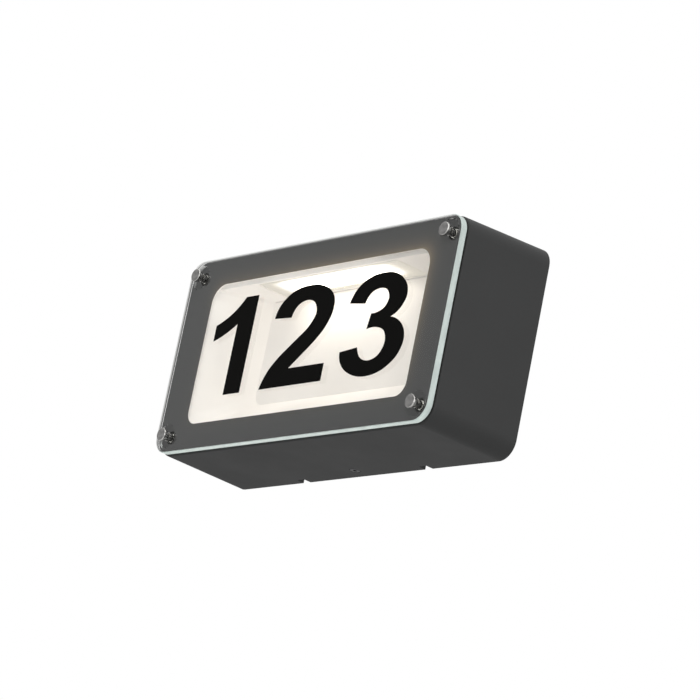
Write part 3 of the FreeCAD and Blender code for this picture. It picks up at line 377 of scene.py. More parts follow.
@dataclass(frozen=True)
class ClearGlass:
    """Polished clear glass that casts no dark shadow.

    It bends light only near the screws, where the bushes in its holes show in full depth. The rest
    is clear with a plain reflection, so that the tray behind it stays free of noise.
    """

    screws: tuple[float, float]
    name: str = "clear_polished_glass"
    tint: Colour = (0.978, 0.980, 0.972)
    smear: float = 38 * MM
    smear_shades: Range = (0.99, 1.0)
    surround: float = 8.2 * MM
    surround_blur: float = 0.3 * MM

    def near_screw(self, sheet: NodeSheet) -> Socket:
        """One round the screws' axes, falling to zero beyond their surround.

        Args:
            sheet: the sheet to work on.

        Returns:
            The mask's socket.
        """
        away = sheet.diagonal(*(sheet.minus(sheet.off(axis), place)
                                for axis, place in zip("XZ", self.screws)))
        return sheet.spread(away, (1.0, 0.0), (self.surround - self.surround_blur, self.surround))

    def make(self) -> bpy.types.Material:
        """Build the material.

        Returns:
            The material.
        """
        sheet = NodeSheet(self.name)
        smear = sheet.grain(self.smear, detail=3.0)
        glass = sheet.shader("ShaderNodeBsdfPrincipled", {
            "Base Color": sheet.shade(smear, self.tint, self.smear_shades),
            "Roughness": 0.0, "IOR": GLASS_IOR, "Transmission Weight": 1.0})
        clear = sheet.shader("ShaderNodeBsdfTransparent", {"Color": self.tint})
        shine = sheet.shader("ShaderNodeBsdfGlossy", {"Roughness": 0.0})
        inner = sheet.node("ShaderNodeNewGeometry").outputs["Backfacing"]
        bounce = sheet.times(sheet.node("ShaderNodeFresnel", {"IOR": GLASS_IOR}).outputs[0],
                             sheet.minus(1.0, inner))
        straight = sheet.blend(bounce, clear, shine)
        seen = sheet.blend(self.near_screw(sheet), glass, straight)
        return sheet.cover(sheet.blend(sheet.ray("Is Shadow Ray", "Is Diffuse Ray"), seen, clear))


@dataclass(frozen=True)
class GlassEdge:
    """Polished edge of the glass, pale green outside, with painted shade inside behind a painted pale
    line.

    The edge has a painted glow of lamp light, strongest at the lower side. Seen through the pane, the
    inner side has a painted pale line up to its depth and painted shade beyond, less dark at the top
    and the bottom than at the sides.
    """

    front: float
    name: str = "polished_glass_edge_with_painted_light"
    colour: Colour = (0.66, 0.75, 0.72)
    shades: Range = (0.88, 1.08)
    streak: float = 9 * MM
    streak_stretch: Point = (1.0, 4.0, 1.0)
    roughness: Range = (0.10, 0.22)
    grind: float = 0.5 * MM
    grind_height: float = 0.004 * MM
    through: Colour = (0.80, 0.84, 0.82)
    through_share: float = 0.4
    # Painted glow of lamp light on the edge, raised on the faces that look down.
    painted_edge_glow: Colour = (0.80, 1.0, 0.92)
    painted_edge_glow_strength: Range = (0.08, 0.14)
    painted_lower_glow_gain: Range = (2.6, 1.0)
    painted_lower_glow_span: Range = (-1.0, -0.3)
    # Inner side: a painted pale line from the front to the line's depth, and painted shade beyond it.
    inside: Colour = (0.74, 0.74, 0.73)
    painted_deep_shade: Colour = (0.13, 0.13, 0.13)
    painted_deep_shade_share: Range = (1.0, 0.3)
    painted_deep_shade_span: Range = (0.5, 0.9)
    line: float = 3.3 * MM
    line_full: float = 0.7
    mirrored: float = 0.15
    mirror_roughness: float = 0.12

    def make(self) -> bpy.types.Material:
        """Build the material.

        Returns:
            The material.
        """
        sheet = NodeSheet(self.name)
        streak = sheet.grain(self.streak, detail=3.0, stretch=self.streak_stretch)
        shape = sheet.node("ShaderNodeNewGeometry").outputs
        rise = sheet.node("ShaderNodeSeparateXYZ", {"Vector": shape["Normal"]}).outputs["Z"]
        # The edge's emission is a painted glow of lamp light, strongest where the edge faces down.
        face = sheet.shader("ShaderNodeBsdfPrincipled", {
            "Base Color": sheet.shade(streak, self.colour, self.shades),
            "Roughness": sheet.spread(streak, self.roughness), "IOR": GLASS_IOR,
            "Emission Color": self.painted_edge_glow,
            "Emission Strength": sheet.times(sheet.spread(streak, self.painted_edge_glow_strength),
                                             sheet.spread(rise, self.painted_lower_glow_gain, self.painted_lower_glow_span)),
            "Normal": sheet.relief(sheet.grain(self.grind), self.grind_height)})
        behind = sheet.shader("ShaderNodeBsdfTranslucent", {"Color": self.through})
        mirror = sheet.shader("ShaderNodeBsdfGlossy", {
            "Color": self.through, "Roughness": self.mirror_roughness})
        # Painted pale line near the front and painted shade deeper in, less dark at the top and the
        # bottom than at the sides.
        level = sheet.spread(sheet.sum("ABSOLUTE", rise), self.painted_deep_shade_share, self.painted_deep_shade_span)
        depth = sheet.spread(sheet.along("Y"), (0.0, level), (
            self.front + self.line_full * self.line, self.front + self.line))
        pale = sheet.shader("ShaderNodeBsdfTranslucent", {
            "Color": sheet.tint(depth, self.inside, self.painted_deep_shade, WHOLE)})
        return sheet.cover(sheet.blend(
            shape["Backfacing"], sheet.blend(self.through_share, face, behind),
            sheet.blend(self.mirrored, pale, mirror)))


@dataclass(frozen=True)
class FiredInk:
    """Opaque dark print behind the glass, with a painted warm glow of lamp light round the lit
    window.

    The painted glow fades outward over its reach, and is strongest at the top and towards the right.
    """

    half_width: float
    half_height: float
    name: str = "fired_dark_ink_with_painted_glow"
    colour: Colour = (0.026, 0.027, 0.0265)
    shades: Range = (0.95, 1.05)
    mottle: float = 24 * MM
    roughness: Range = (0.52, 0.58)
    gloss: float = 0.05
    corner: float = 10 * MM
    # Painted glow of lamp light round the window, laid on top of the print's own colour.
    painted_window_glow: Colour = (0.30, 0.22, 0.115)
    strength: float = 0.37
    reach: float = 3.4 * MM
    lean: float = 0.35
    painted_side_light: Range = (0.10, 1.0)
    painted_side_span: Range = (-12 * MM, 48 * MM)

    def window_distance(self, sheet: NodeSheet) -> Socket:
        """Distance outward from the window's edge.

        Args:
            sheet: the sheet to work on.

        Returns:
            The distance's socket, in metres.
        """
        return sheet.minus(sheet.diagonal(
            sheet.beyond("X", 0.0, self.half_width - self.corner),
            sheet.beyond("Z", 0.0, self.half_height - self.corner)), self.corner)

    def make(self) -> bpy.types.Material:
        """Build the material.

        Returns:
            The material.
        """
        sheet = NodeSheet(self.name)
        mottle = sheet.grain(self.mottle)
        # Painted glow of lamp light: it fades away from the window and is strongest at the top and
        # the right.
        outward = sheet.sum("MAXIMUM", self.window_distance(sheet), 0.0)
        away = sheet.sum("DIVIDE", outward, -self.reach)
        side = sheet.sum("MULTIPLY_ADD", sheet.along("X"), self.lean, sheet.along("Z"))
        glow = sheet.times(sheet.sum("EXPONENT", away),
                           sheet.spread(side, self.painted_side_light, self.painted_side_span))
        return sheet.surface({
            "Base Color": sheet.shade(mottle, self.colour, self.shades),
            "Roughness": sheet.spread(mottle, self.roughness), "Specular IOR Level": self.gloss,
            "Emission Color": self.painted_window_glow, "Emission Strength": sheet.times(glow, self.strength)})


@dataclass(frozen=True)
class CutFilm:
    """Black self-adhesive film with a fine matte grain."""

    name: str = "black_cut_film"
    colour: Colour = (0.0030, 0.0029, 0.0026)
    shades: Range = (0.85, 1.2)
    wave: float = 22 * MM
    grain: float = 0.35 * MM
    height: float = 0.003 * MM
    roughness: Range = (0.50, 0.60)
    gloss: float = 0.02

    def make(self) -> bpy.types.Material:
        """Build the material.

        Returns:
            The material.
        """
        sheet = NodeSheet(self.name)
        wave = sheet.grain(self.wave)
        grain = sheet.grain(self.grain, detail=1.0)
        return sheet.surface({
            "Base Color": sheet.shade(wave, self.colour, self.shades),
            "Roughness": sheet.spread(wave, self.roughness), "Specular IOR Level": self.gloss,
            "Normal": sheet.relief(grain, self.height)})


@dataclass(frozen=True)
class TurnedSteel:
    """Turned stainless steel with tool rings about the piece's own axis."""

    name: str
    colour: Colour
    pitch: float
    roughness: Range
    mottle: float = 0.1
    stain: float = 2.5 * MM
    ring_height: float = 0.003 * MM
    ring_span: Range = (0.2, 0.8)

    def make(self) -> bpy.types.Material:
        """Build the material.

        Returns:
            The material.
        """
        sheet = NodeSheet(self.name)
        rings = sheet.rings(self.pitch)
        stain = sheet.grain(self.stain, detail=3.0)
        return sheet.surface({
            "Base Color": sheet.shade(stain, self.colour, (1 - self.mottle, 1 + self.mottle)),
            "Metallic": 1.0, "Roughness": sheet.spread(rings, self.roughness, self.ring_span),
            "Normal": sheet.relief(rings, self.ring_height)})


@dataclass(frozen=True)
class SheetMetal:
    """Rolled or plated sheet with crystals or a rolling grain."""

    name: str
    colour: Colour
    shade: Colour
    crystal: float
    roughness: Range = (0.46, 0.28)
    crystal_share: float = 0.5
    scuff: float = 30 * MM
    worn_span: Range = (0.25, 0.75)
    rolling: float = 0.6 * MM
    rolling_stretch: Point = (0.08, 1.0, 1.0)
    rolling_height: float = 0.002 * MM

    def make(self) -> bpy.types.Material:
        """Build the material.

        Returns:
            The material.
        """
        sheet = NodeSheet(self.name)
        crystal = sheet.times(sheet.cells(self.crystal), self.crystal_share)
        scuff = sheet.grain(self.scuff, detail=4.0)
        worn = sheet.sum("MULTIPLY_ADD", scuff, 1 - self.crystal_share, crystal)
        rolling = sheet.grain(self.rolling, detail=3.0, stretch=self.rolling_stretch)
        return sheet.surface({
            "Base Color": sheet.tint(worn, self.shade, self.colour, self.worn_span),
            "Metallic": 1.0, "Roughness": sheet.spread(worn, self.roughness, self.worn_span),
            "Normal": sheet.relief(rolling, self.rolling_height)})


@dataclass(frozen=True)
class Moulding:
    """Moulded plastic or rubber with a fine surface grain."""

    name: str
    colour: Colour
    roughness: float = 0.45
    grain: float = 0.5 * MM
    depth: float = 0.006 * MM
    gloss: float = 0.5
    shades: Range = (0.95, 1.03)
    cloud: float = 26 * MM
    unevenness: float = 0.05

    def make(self) -> bpy.types.Material:
        """Build the material.

        Returns:
            The material.
        """
        sheet = NodeSheet(self.name)
        clouds = sheet.grain(self.cloud, detail=3.0)
        return sheet.surface({
            "Base Color": sheet.shade(clouds, self.colour, self.shades),
            "Roughness": sheet.spread(clouds, (self.roughness - self.unevenness,
                                               self.roughness + self.unevenness)),
            "Specular IOR Level": self.gloss,
            "Normal": sheet.relief(sheet.grain(self.grain), self.depth)})


@dataclass(frozen=True)
class LampGlow:
    """Opal cover of the lamp, brightest over the light chips and soft at its ends and sides.

    A thin band of painted shade runs down each end, where the cover meets the tray.
    """

    middle: float
    half_width: float
    chip_pitch: float
    half_length: float
    name: str = "glowing_opal_cover"
    colour: Colour = (0.85, 0.83, 0.745)
    roughness: Range = (0.36, 0.44)
    cloud: float = 8 * MM
    light: Colour = (1.0, 0.93, 0.84)
    strength: float = 7.2
    rim: float = 0.07
    ripple: float = 0.03
    forward: float = 2.5 * MM
    length_fade: Range = (34 * MM, 69 * MM)
    width_fade: Range = (0.38, 0.95)
    tail: float = 2.5
    # Painted shade at each end, where the cover meets the tray.
    painted_joint_shade_width: float = 0.6 * MM
    painted_joint_shades: Range = (1.0, 0.7)

    def fade(self, sheet: NodeSheet, away: Socket, span: Range) -> Socket:
        """Soft fall from one to zero with a long tail.

        Args:
            sheet: the sheet to work on.
            away: distance from the middle.
            span: distances up to which the light is full, and from which it is gone.

        Returns:
            The light's socket.
        """
        fall = sheet.spread(away, (1.0, 0.0), span)
        fall.node.interpolation_type = "SMOOTHSTEP"
        return sheet.sum("POWER", fall, self.tail)

    def make(self) -> bpy.types.Material:
        """Build the material.

        Returns:
            The material.
        """
        sheet = NodeSheet(self.name)
        aside = sheet.off("X")
        across = self.fade(sheet, sheet.off("Y", self.middle - self.forward),
                           tuple(share * self.half_width for share in self.width_fade))
        turn = sheet.times(sheet.along("X"), FULL_TURN / self.chip_pitch)
        ripple = sheet.sum("MULTIPLY_ADD", sheet.sum("COSINE", turn), self.ripple, 1 - self.ripple)
        glow = sheet.times(sheet.times(self.fade(sheet, aside, self.length_fade), across), ripple)
        # Painted shade: the cover's colour darkens at its ends.
        end = sheet.spread(aside, WHOLE, (
            self.half_length - self.painted_joint_shade_width, self.half_length - 0.5 * self.painted_joint_shade_width))
        return sheet.surface({
            "Base Color": sheet.shade(end, self.colour, self.painted_joint_shades, WHOLE),
            "Roughness": sheet.spread(sheet.grain(self.cloud), self.roughness),
            "Emission Color": self.light,
            "Emission Strength": sheet.sum("MULTIPLY_ADD", glow, self.strength, self.rim)})


@dataclass(frozen=True)
class LitReflector:
    """White satin moulding of the tray, with painted lamp light that glows in it round the lamp.

    The painted light gets brighter on the walls from the mouth to the floor, and darker on the
    ceiling from left to right. A line of painted shade runs where the ceiling meets the floor.
    """

    middle: float
    half_width: float
    level: float
    mouth: float
    floor: float
    name: str = "white_reflector_with_painted_light"
    colour: Colour = (0.868, 0.832, 0.793)
    shades: Range = (0.985, 1.01)
    cloud: float = 26 * MM
    roughness: Range = (0.38, 0.46)
    gloss: float = 0.3
    grain: float = 0.9 * MM
    grain_height: float = 0.002 * MM
    # Painted lamp light: the tray glows round the lamp, and by wall, height and side.
    glow: Colour = (0.168, 0.160, 0.149)
    half_length: float = 46 * MM
    reach: float = 8 * MM
    painted_spill: float = 0.9
    painted_wall_light: Range = (0.6, 1.1)
    painted_ceiling_light: Range = (1.5, 0.30)
    ceiling_span: Range = (-100 * MM, 100 * MM)
    rise_span: Range = (20 * MM, 44 * MM)
    # Painted shade along the corner where the ceiling meets the floor.
    painted_shade_seam_width: float = 0.9 * MM
    painted_shade_seam_full: float = 0.3
    painted_shade_seam_share: Range = (0.65, 0.0)
    painted_shade_seam_darkening: float = 0.80

    def make(self) -> bpy.types.Material:
        """Build the material.

        Returns:
            The material.
        """
        sheet = NodeSheet(self.name)
        clouds = sheet.grain(self.cloud, detail=3.0)
        # Painted lamp light that falls off away from the lamp, plus painted light by wall, height and
        # side.
        away = sheet.diagonal(sheet.beyond("X", 0.0, self.half_length),
                              sheet.beyond("Y", self.middle, self.half_width),
                              sheet.beyond("Z", self.level, 0.0))
        painted_spill = sheet.sum("EXPONENT", sheet.sum("DIVIDE", away, -self.reach))
        ceiling = sheet.spread(sheet.along("X"), self.painted_ceiling_light, self.ceiling_span)
        height = sheet.spread(sheet.along("Z"), WHOLE, self.rise_span)
        walls = sheet.spread(sheet.along("Y"), self.painted_wall_light, (self.mouth, self.floor))
        share = sheet.sum("MULTIPLY_ADD", height, sheet.minus(ceiling, walls), walls)
        # Painted shade in the corner where the ceiling meets the floor; it also takes the painted
        # light away there.
        aside = sheet.sum("ADD", sheet.off("Z", self.level), sheet.off("Y", self.floor))
        corner = sheet.spread(aside, self.painted_shade_seam_share, (self.painted_shade_seam_full * self.painted_shade_seam_width, self.painted_shade_seam_width))
        lit = sheet.minus(1.0, corner)
        return sheet.surface({
            "Base Color": sheet.mix(corner, sheet.shade(clouds, self.colour, self.shades),
                                    darker(self.colour, self.painted_shade_seam_darkening)),
            "Roughness": sheet.spread(clouds, self.roughness), "Specular IOR Level": self.gloss,
            "Emission Color": self.glow,
            "Emission Strength": sheet.sum("MULTIPLY_ADD", sheet.times(painted_spill, lit), self.painted_spill,
                                           sheet.times(share, lit)),
            "Normal": sheet.relief(sheet.grain(self.grain), self.grain_height)})


@dataclass(frozen=True)
class Insulation:
    """Wire insulation with faint die marks, and a second colour where it has a stripe."""

    name: str
    colour: Colour
    stripe: Colour | None = None
    stripe_pitch: Range = (9 * MM, 4 * MM)
    stripe_edge: Range = (0.15, 0.25)
    marks: float = 1.1 * MM
    mark_height: float = 0.004 * MM
    shades: Range = (0.9, 1.1)
    roughness: Range = (0.32, 0.42)

    def make(self) -> bpy.types.Material:
        """Build the material.

        Returns:
            The material.
        """
        sheet = NodeSheet(self.name)
        marks = sheet.grain(self.marks)
        if self.stripe is None:
            colour = sheet.shade(marks, self.colour, self.shades)
        else:
            upward, sideways = (FULL_TURN / pitch for pitch in self.stripe_pitch)
            turn = sheet.sum("MULTIPLY_ADD", sheet.along("Z"), upward,
                             sheet.times(sheet.along("X"), sideways))
            colour = sheet.tint(sheet.sum("SINE", turn), self.colour, self.stripe, self.stripe_edge)
        return sheet.surface({
            "Base Color": colour, "Roughness": sheet.spread(marks, self.roughness),
            "Normal": sheet.relief(marks, self.mark_height)})


@dataclass(frozen=True)
class CircuitBoard:
    """Solder resist over copper tracks."""

    name: str
    resist: Colour
    track: Colour
    pitch: float = 2.2 * MM
    track_share: float = 0.06
    second_shade: float = 0.93
    roughness: float = 0.35
    height: float = 0.01 * MM

    def make(self) -> bpy.types.Material:
        """Build the material.

        Returns:
            The material.
        """
        sheet = NodeSheet(self.name)
        brick = sheet.node("ShaderNodeTexBrick", {
            "Vector": sheet.place, "Scale": 1.0 / self.pitch, "Mortar Size": self.track_share,
            "Color1": self.resist, "Color2": darker(self.resist, self.second_shade),
            "Mortar": self.track})
        return sheet.surface({
            "Base Color": brick.outputs["Color"], "Roughness": self.roughness,
            "Normal": sheet.relief(brick.outputs["Fac"], self.height)})


class Lead(Enum):
    """Colours of the internal leads, by the node that each lead is."""

    LIVE = ("live_lead", (0.16, 0.07, 0.03), None)
    NEUTRAL = ("neutral_lead", (0.02, 0.11, 0.42), None)
    EARTH = ("earth_lead", (0.06, 0.34, 0.05), (0.75, 0.62, 0.05))
    PLUS = ("lamp_lead_plus", (0.48, 0.02, 0.015), None)
    MINUS = ("lamp_lead_minus", (0.012, 0.012, 0.012), None)


class Numeral(Enum):
    """Outlines of the numerals in millimetres: smooth runs, each from the last one to a corner."""

    ONE = ("numeral_one", (
        ((38.5, 0),), ((38.5, 65),), ((26, 65),),
        ((21, 59.9), (14.5, 55), (7.5, 51.3), (0, 48.5)),
        ((0, 38),),
        ((11.5, 42), (22, 47.5)),
        ((22, 0),)))
    TWO = ("numeral_two", (
        ((0, 0),), ((60.5, 0),), ((60.5, 11.5),), ((25.5, 11.5),),
        ((35.8, 19.2), (46, 27), (54.5, 35.6), (59.2, 46.5), (58.3, 53.8), (53.5, 59.5),
         (43.5, 64.1), (31.5, 65.5), (18.5, 63.8), (8.8, 58.6), (4, 53), (2, 46.5)),
        ((18.5, 45.5),),
        ((22.4, 52.6), (31.5, 55.7), (39.8, 52.9), (43, 46.3), (38.9, 38.4), (29.5, 31),
         (21, 25), (12.7, 18.8), (5, 10.6), (0, 0))))
    THREE = ("numeral_three", (
        ((0.5, 48.3),),
        ((3.8, 55.3), (10.2, 61), (18.2, 64.2), (28, 65.2), (39.5, 63.7), (48.2, 59), (53, 53.2),
         (54, 47.6), (51, 41.3), (42.2, 35.4)),
        ((51.6, 31.6), (57.2, 25.6), (58.9, 18.6), (56.3, 11), (46.5, 2.8), (30.5, -1.2),
         (15.5, 0.9), (5.6, 6.4), (1.4, 11.6), (0, 16.9)),
        ((16, 18.4),),
        ((20.4, 11.6), (29.3, 8.8), (38, 11.9), (41.6, 19.4), (39, 26.3), (31.2, 29.8),
         (21.6, 29.5)),
        ((23.2, 39.4),),
        ((29.3, 39.9), (35.4, 42.9), (37.4, 48), (34.6, 53.2), (27, 55.3), (19.6, 53),
         (15.4, 46.6))))


# ---------------------------------------------------------------------------- mesh helpers
def dress(material: bpy.types.Material, *nodes: str) -> list[bpy.types.Object]:
    """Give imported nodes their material.

    Args:
        material: the finish.
        nodes: names of the nodes that have it.

    Returns:
        The dressed pieces.
    """
    pieces = [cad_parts[node] for node in nodes]
    for piece in pieces:
        if not piece.material_slots:
            piece.data.materials.append(material)
        for slot in piece.material_slots:
            slot.material = material
    return pieces


def make_piece(name: str, shape: Shape, materials: list[bpy.types.Material],
               smooth: float = 30.0) -> bpy.types.Object:
    """Make a mesh object.

    Args:
        name: the piece's name.
        shape: its corners, and its faces by corner numbers.
        materials: its materials, in slot order.
        smooth: edges that turn by less than this many degrees are shaded smooth.

    Returns:
        The new object.
    """
    mesh = bpy.data.meshes.new(name)
    mesh.from_pydata(shape[0], [], shape[1])
    mesh.validate()
    for material in materials:
        mesh.materials.append(material)
    mesh.shade_smooth()
    mesh.set_sharp_from_angle(angle=math.radians(smooth))
    piece = bpy.data.objects.new(name, mesh)
    bpy.context.scene.collection.objects.link(piece)
    return piece


def mesh_shape(mesh: bpy.types.Mesh) -> Shape:
    """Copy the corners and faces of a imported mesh."""
    return ([corner.co.copy() for corner in mesh.vertices],
            [tuple(face.vertices) for face in mesh.polygons])


def rounded(profile: Profile, radius: float, steps: int = 4) -> Profile:
    """Round the inner corners of an open profile.

    Args:
        profile: corners, as (radius from the axis, place along it).
        radius: rounding radius, cut down where a run is short.
        steps: pieces that each corner is divided in.

    Returns:
        The finer profile.
    """
    fine = [profile[0]]
    for before, corner, after in zip(profile, profile[1:], profile[2:]):
        here = Vector(corner)
        back = Vector(before) - here
        ahead = Vector(after) - here
        reach = min(radius, back.length / 2, ahead.length / 2)
        first = here + back.normalized() * reach
        last = here + ahead.normalized() * reach
        for step in range(steps + 1):
            share = step / steps
            bent = first * (1 - share) ** 2 + here * 2 * share * (1 - share) + last * share ** 2
            fine.append((bent.x, bent.y))
    fine.append(profile[-1])
    return fine


def circle(radius: float, y: float, steps: int) -> list[Vector]:
    """Points of a circle about the Y axis, at y along it."""
    angles = (FULL_TURN * step / steps for step in range(steps))
    return [Vector((radius * math.cos(angle), y, radius * math.sin(angle))) for angle in angles]


def band(low: int, high: int, steps: int) -> list[tuple[int, ...]]:
    """Faces between two circles, by the numbers of the circles' first points."""
    return [(low + step, high + step, high + (step + 1) % steps, low + (step + 1) % steps)
            for step in range(steps)]


def turned(profile: Profile, steps: int) -> Shape:
    """Turn a profile about the Y axis.

    Args:
        profile: points as (radius, y), from one end on the axis to the other.
        steps: sides of the turned body.

    Returns:
        Its corners and its faces.
    """
    vertices = [Vector((0.0, profile[0][1], 0.0))]
    for radius, y in profile[1:-1]:
        vertices += circle(radius, y, steps)
    vertices.append(Vector((0.0, profile[-1][1], 0.0)))
    tip = len(vertices) - 1
    last = tip - steps
    faces = [(0, 1 + step, 1 + (step + 1) % steps) for step in range(steps)]
    for low in range(1, last, steps):
        faces += band(low, low + steps, steps)
    faces += [(last + step, tip, last + (step + 1) % steps) for step in range(steps)]
    return vertices, faces


def smooth_run(points: list[Vector], steps: int = 10) -> list[Vector]:
    """Lay one smooth curve through points.

    Args:
        points: the points, from end to end.
        steps: pieces that each span is divided in.

    Returns:
        Points of the curve, without the first one.
    """
    spans = [after - before for before, after in zip(points, points[1:])]
    lengths = [span.length for span in spans]
    heading = [span / length for span, length in zip(spans, lengths)]
    turns = [(heading[index - 1] * lengths[index] + heading[index] * lengths[index - 1])
             / (lengths[index - 1] + lengths[index]) for index in range(1, len(spans))]
    ends = (heading[0] * 2 - turns[0], heading[-1] * 2 - turns[-1])
    turns = [ends[0], *turns, ends[1]]
    curve = []
    for index, length in enumerate(lengths):
        before, after = points[index], points[index + 1]
        curve += interpolate_bezier(before, before + turns[index] * length / 3,
                                    after - turns[index + 1] * length / 3, after, steps + 1)[1:]
    return curve


def numeral_outline(runs: tuple[Profile, ...]) -> list[Vector]:
    """Closed outline from smooth runs and corners.

    Args:
        runs: the runs, each a list of points that ends in a corner.

    Returns:
        The outline's points, against the clock.
    """
    outline = [Vector(runs[0][-1])]
    for run in runs[1:]:
        points = [outline[-1], *(Vector(point) for point in run)]
        outline += smooth_run(points) if len(points) > 2 else points[1:]
    if (outline[-1] - outline[0]).length < TOUCHING:
        outline.pop()
    area = sum(before.cross(after) for before, after in zip(outline, outline[1:] + outline[:1]))
    return outline if area > 0 else outline[::-1]


# ---------------------------------------------------------------------------- sub-assemblies
def screw_places() -> list[tuple[float, float]]:
    """Places of the cap screws' axes.

    Returns:
        The places, as (x, z).
    """
    low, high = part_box("cap_screws")
    return [(x, z) for x in (low.x + PACKED_HEAD_RADIUS, high.x - PACKED_HEAD_RADIUS)
            for z in (low.z + PACKED_HEAD_RADIUS, high.z - PACKED_HEAD_RADIUS)]


@dataclass
class GlassFront:
    """Printed pane with its numerals."""

    window_half_width: float = 106.5 * MM
    window_half_height: float = 47.0 * MM
    print_bite: float = 0.02 * MM
    hole_reach: float = 3.6 * MM
    flat: float = 0.9
    numeral_baseline: float = -31.0 * MM
    numeral_smooth: float = 20.0
    body: str = "glass_front"

    def pane(self) -> bpy.types.Object:
        """Pane with clear faces and holes and a pale green rim, in the shape of its node.

        Returns:
            The pane.
        """
        places = screw_places()
        finishes = [ClearGlass(places[-1]).make(), GlassEdge(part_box("front_glass")[0].y).make()]
        pane = make_piece("glass_pane", mesh_shape(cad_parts["front_glass"].data), finishes)
        for face in pane.data.polygons:
            near = min(math.hypot(face.center.x - x, face.center.z - z) for x, z in places)
            rim = abs(face.normal.y) < self.flat and near > self.hole_reach
            face.material_index = int(rim)
        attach(pane, self.body)
        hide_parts("front_glass")
        return pane

    def printed_border(self) -> bpy.types.Object:
        """Dark print that is fired into the back of the pane, so that no air lies between.

        Returns:
            The print.
        """
        vertices, faces = mesh_shape(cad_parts["border_print"].data)
        front = min(corner.y for corner in vertices)
        for corner in vertices:
            if corner.y - front < self.print_bite:
                corner.y -= self.print_bite
        ink = FiredInk(self.window_half_width, self.window_half_height)
        border = make_piece("fired_border", (vertices, faces), [ink.make()])
        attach(border, self.body)
        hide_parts("border_print")
        return border

    def numeral(self, numeral: Numeral, film: bpy.types.Material) -> bpy.types.Object:
        """Cut one numeral from film, in the place and thickness of its node.

        Args:
            numeral: the numeral.
            film: its finish.

        Returns:
            The numeral.
        """
        node, runs = numeral.value
        low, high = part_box(node)
        corner = Vector((low.x, self.numeral_baseline))
        outline = [corner + point * MM for point in numeral_outline(runs)]
        count = len(outline)
        vertices = [Vector((point.x, y, point.y)) for y in (low.y, high.y) for point in outline]
        faces = band(0, count, count)
        for triangle in tessellate_polygon([[point.to_3d() for point in outline]]):
            first, second, third = (outline[index] for index in triangle)
            if (second - first).cross(third - first) < 0:
                triangle = triangle[::-1]
            faces.append(tuple(triangle))
            faces.append(tuple(index + count for index in reversed(triangle)))
        piece = make_piece(f"film_{node}", (vertices, faces), [film], self.numeral_smooth)
        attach(piece, self.body)
        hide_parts(node)
        return piece

    def build(self) -> list[bpy.types.Object]:
        """Build the pane, the print and the numerals.

        Returns:
            The pieces.
        """
        film = CutFilm().make()
        return [self.pane(), self.printed_border(),
                *(self.numeral(numeral, film) for numeral in Numeral)]


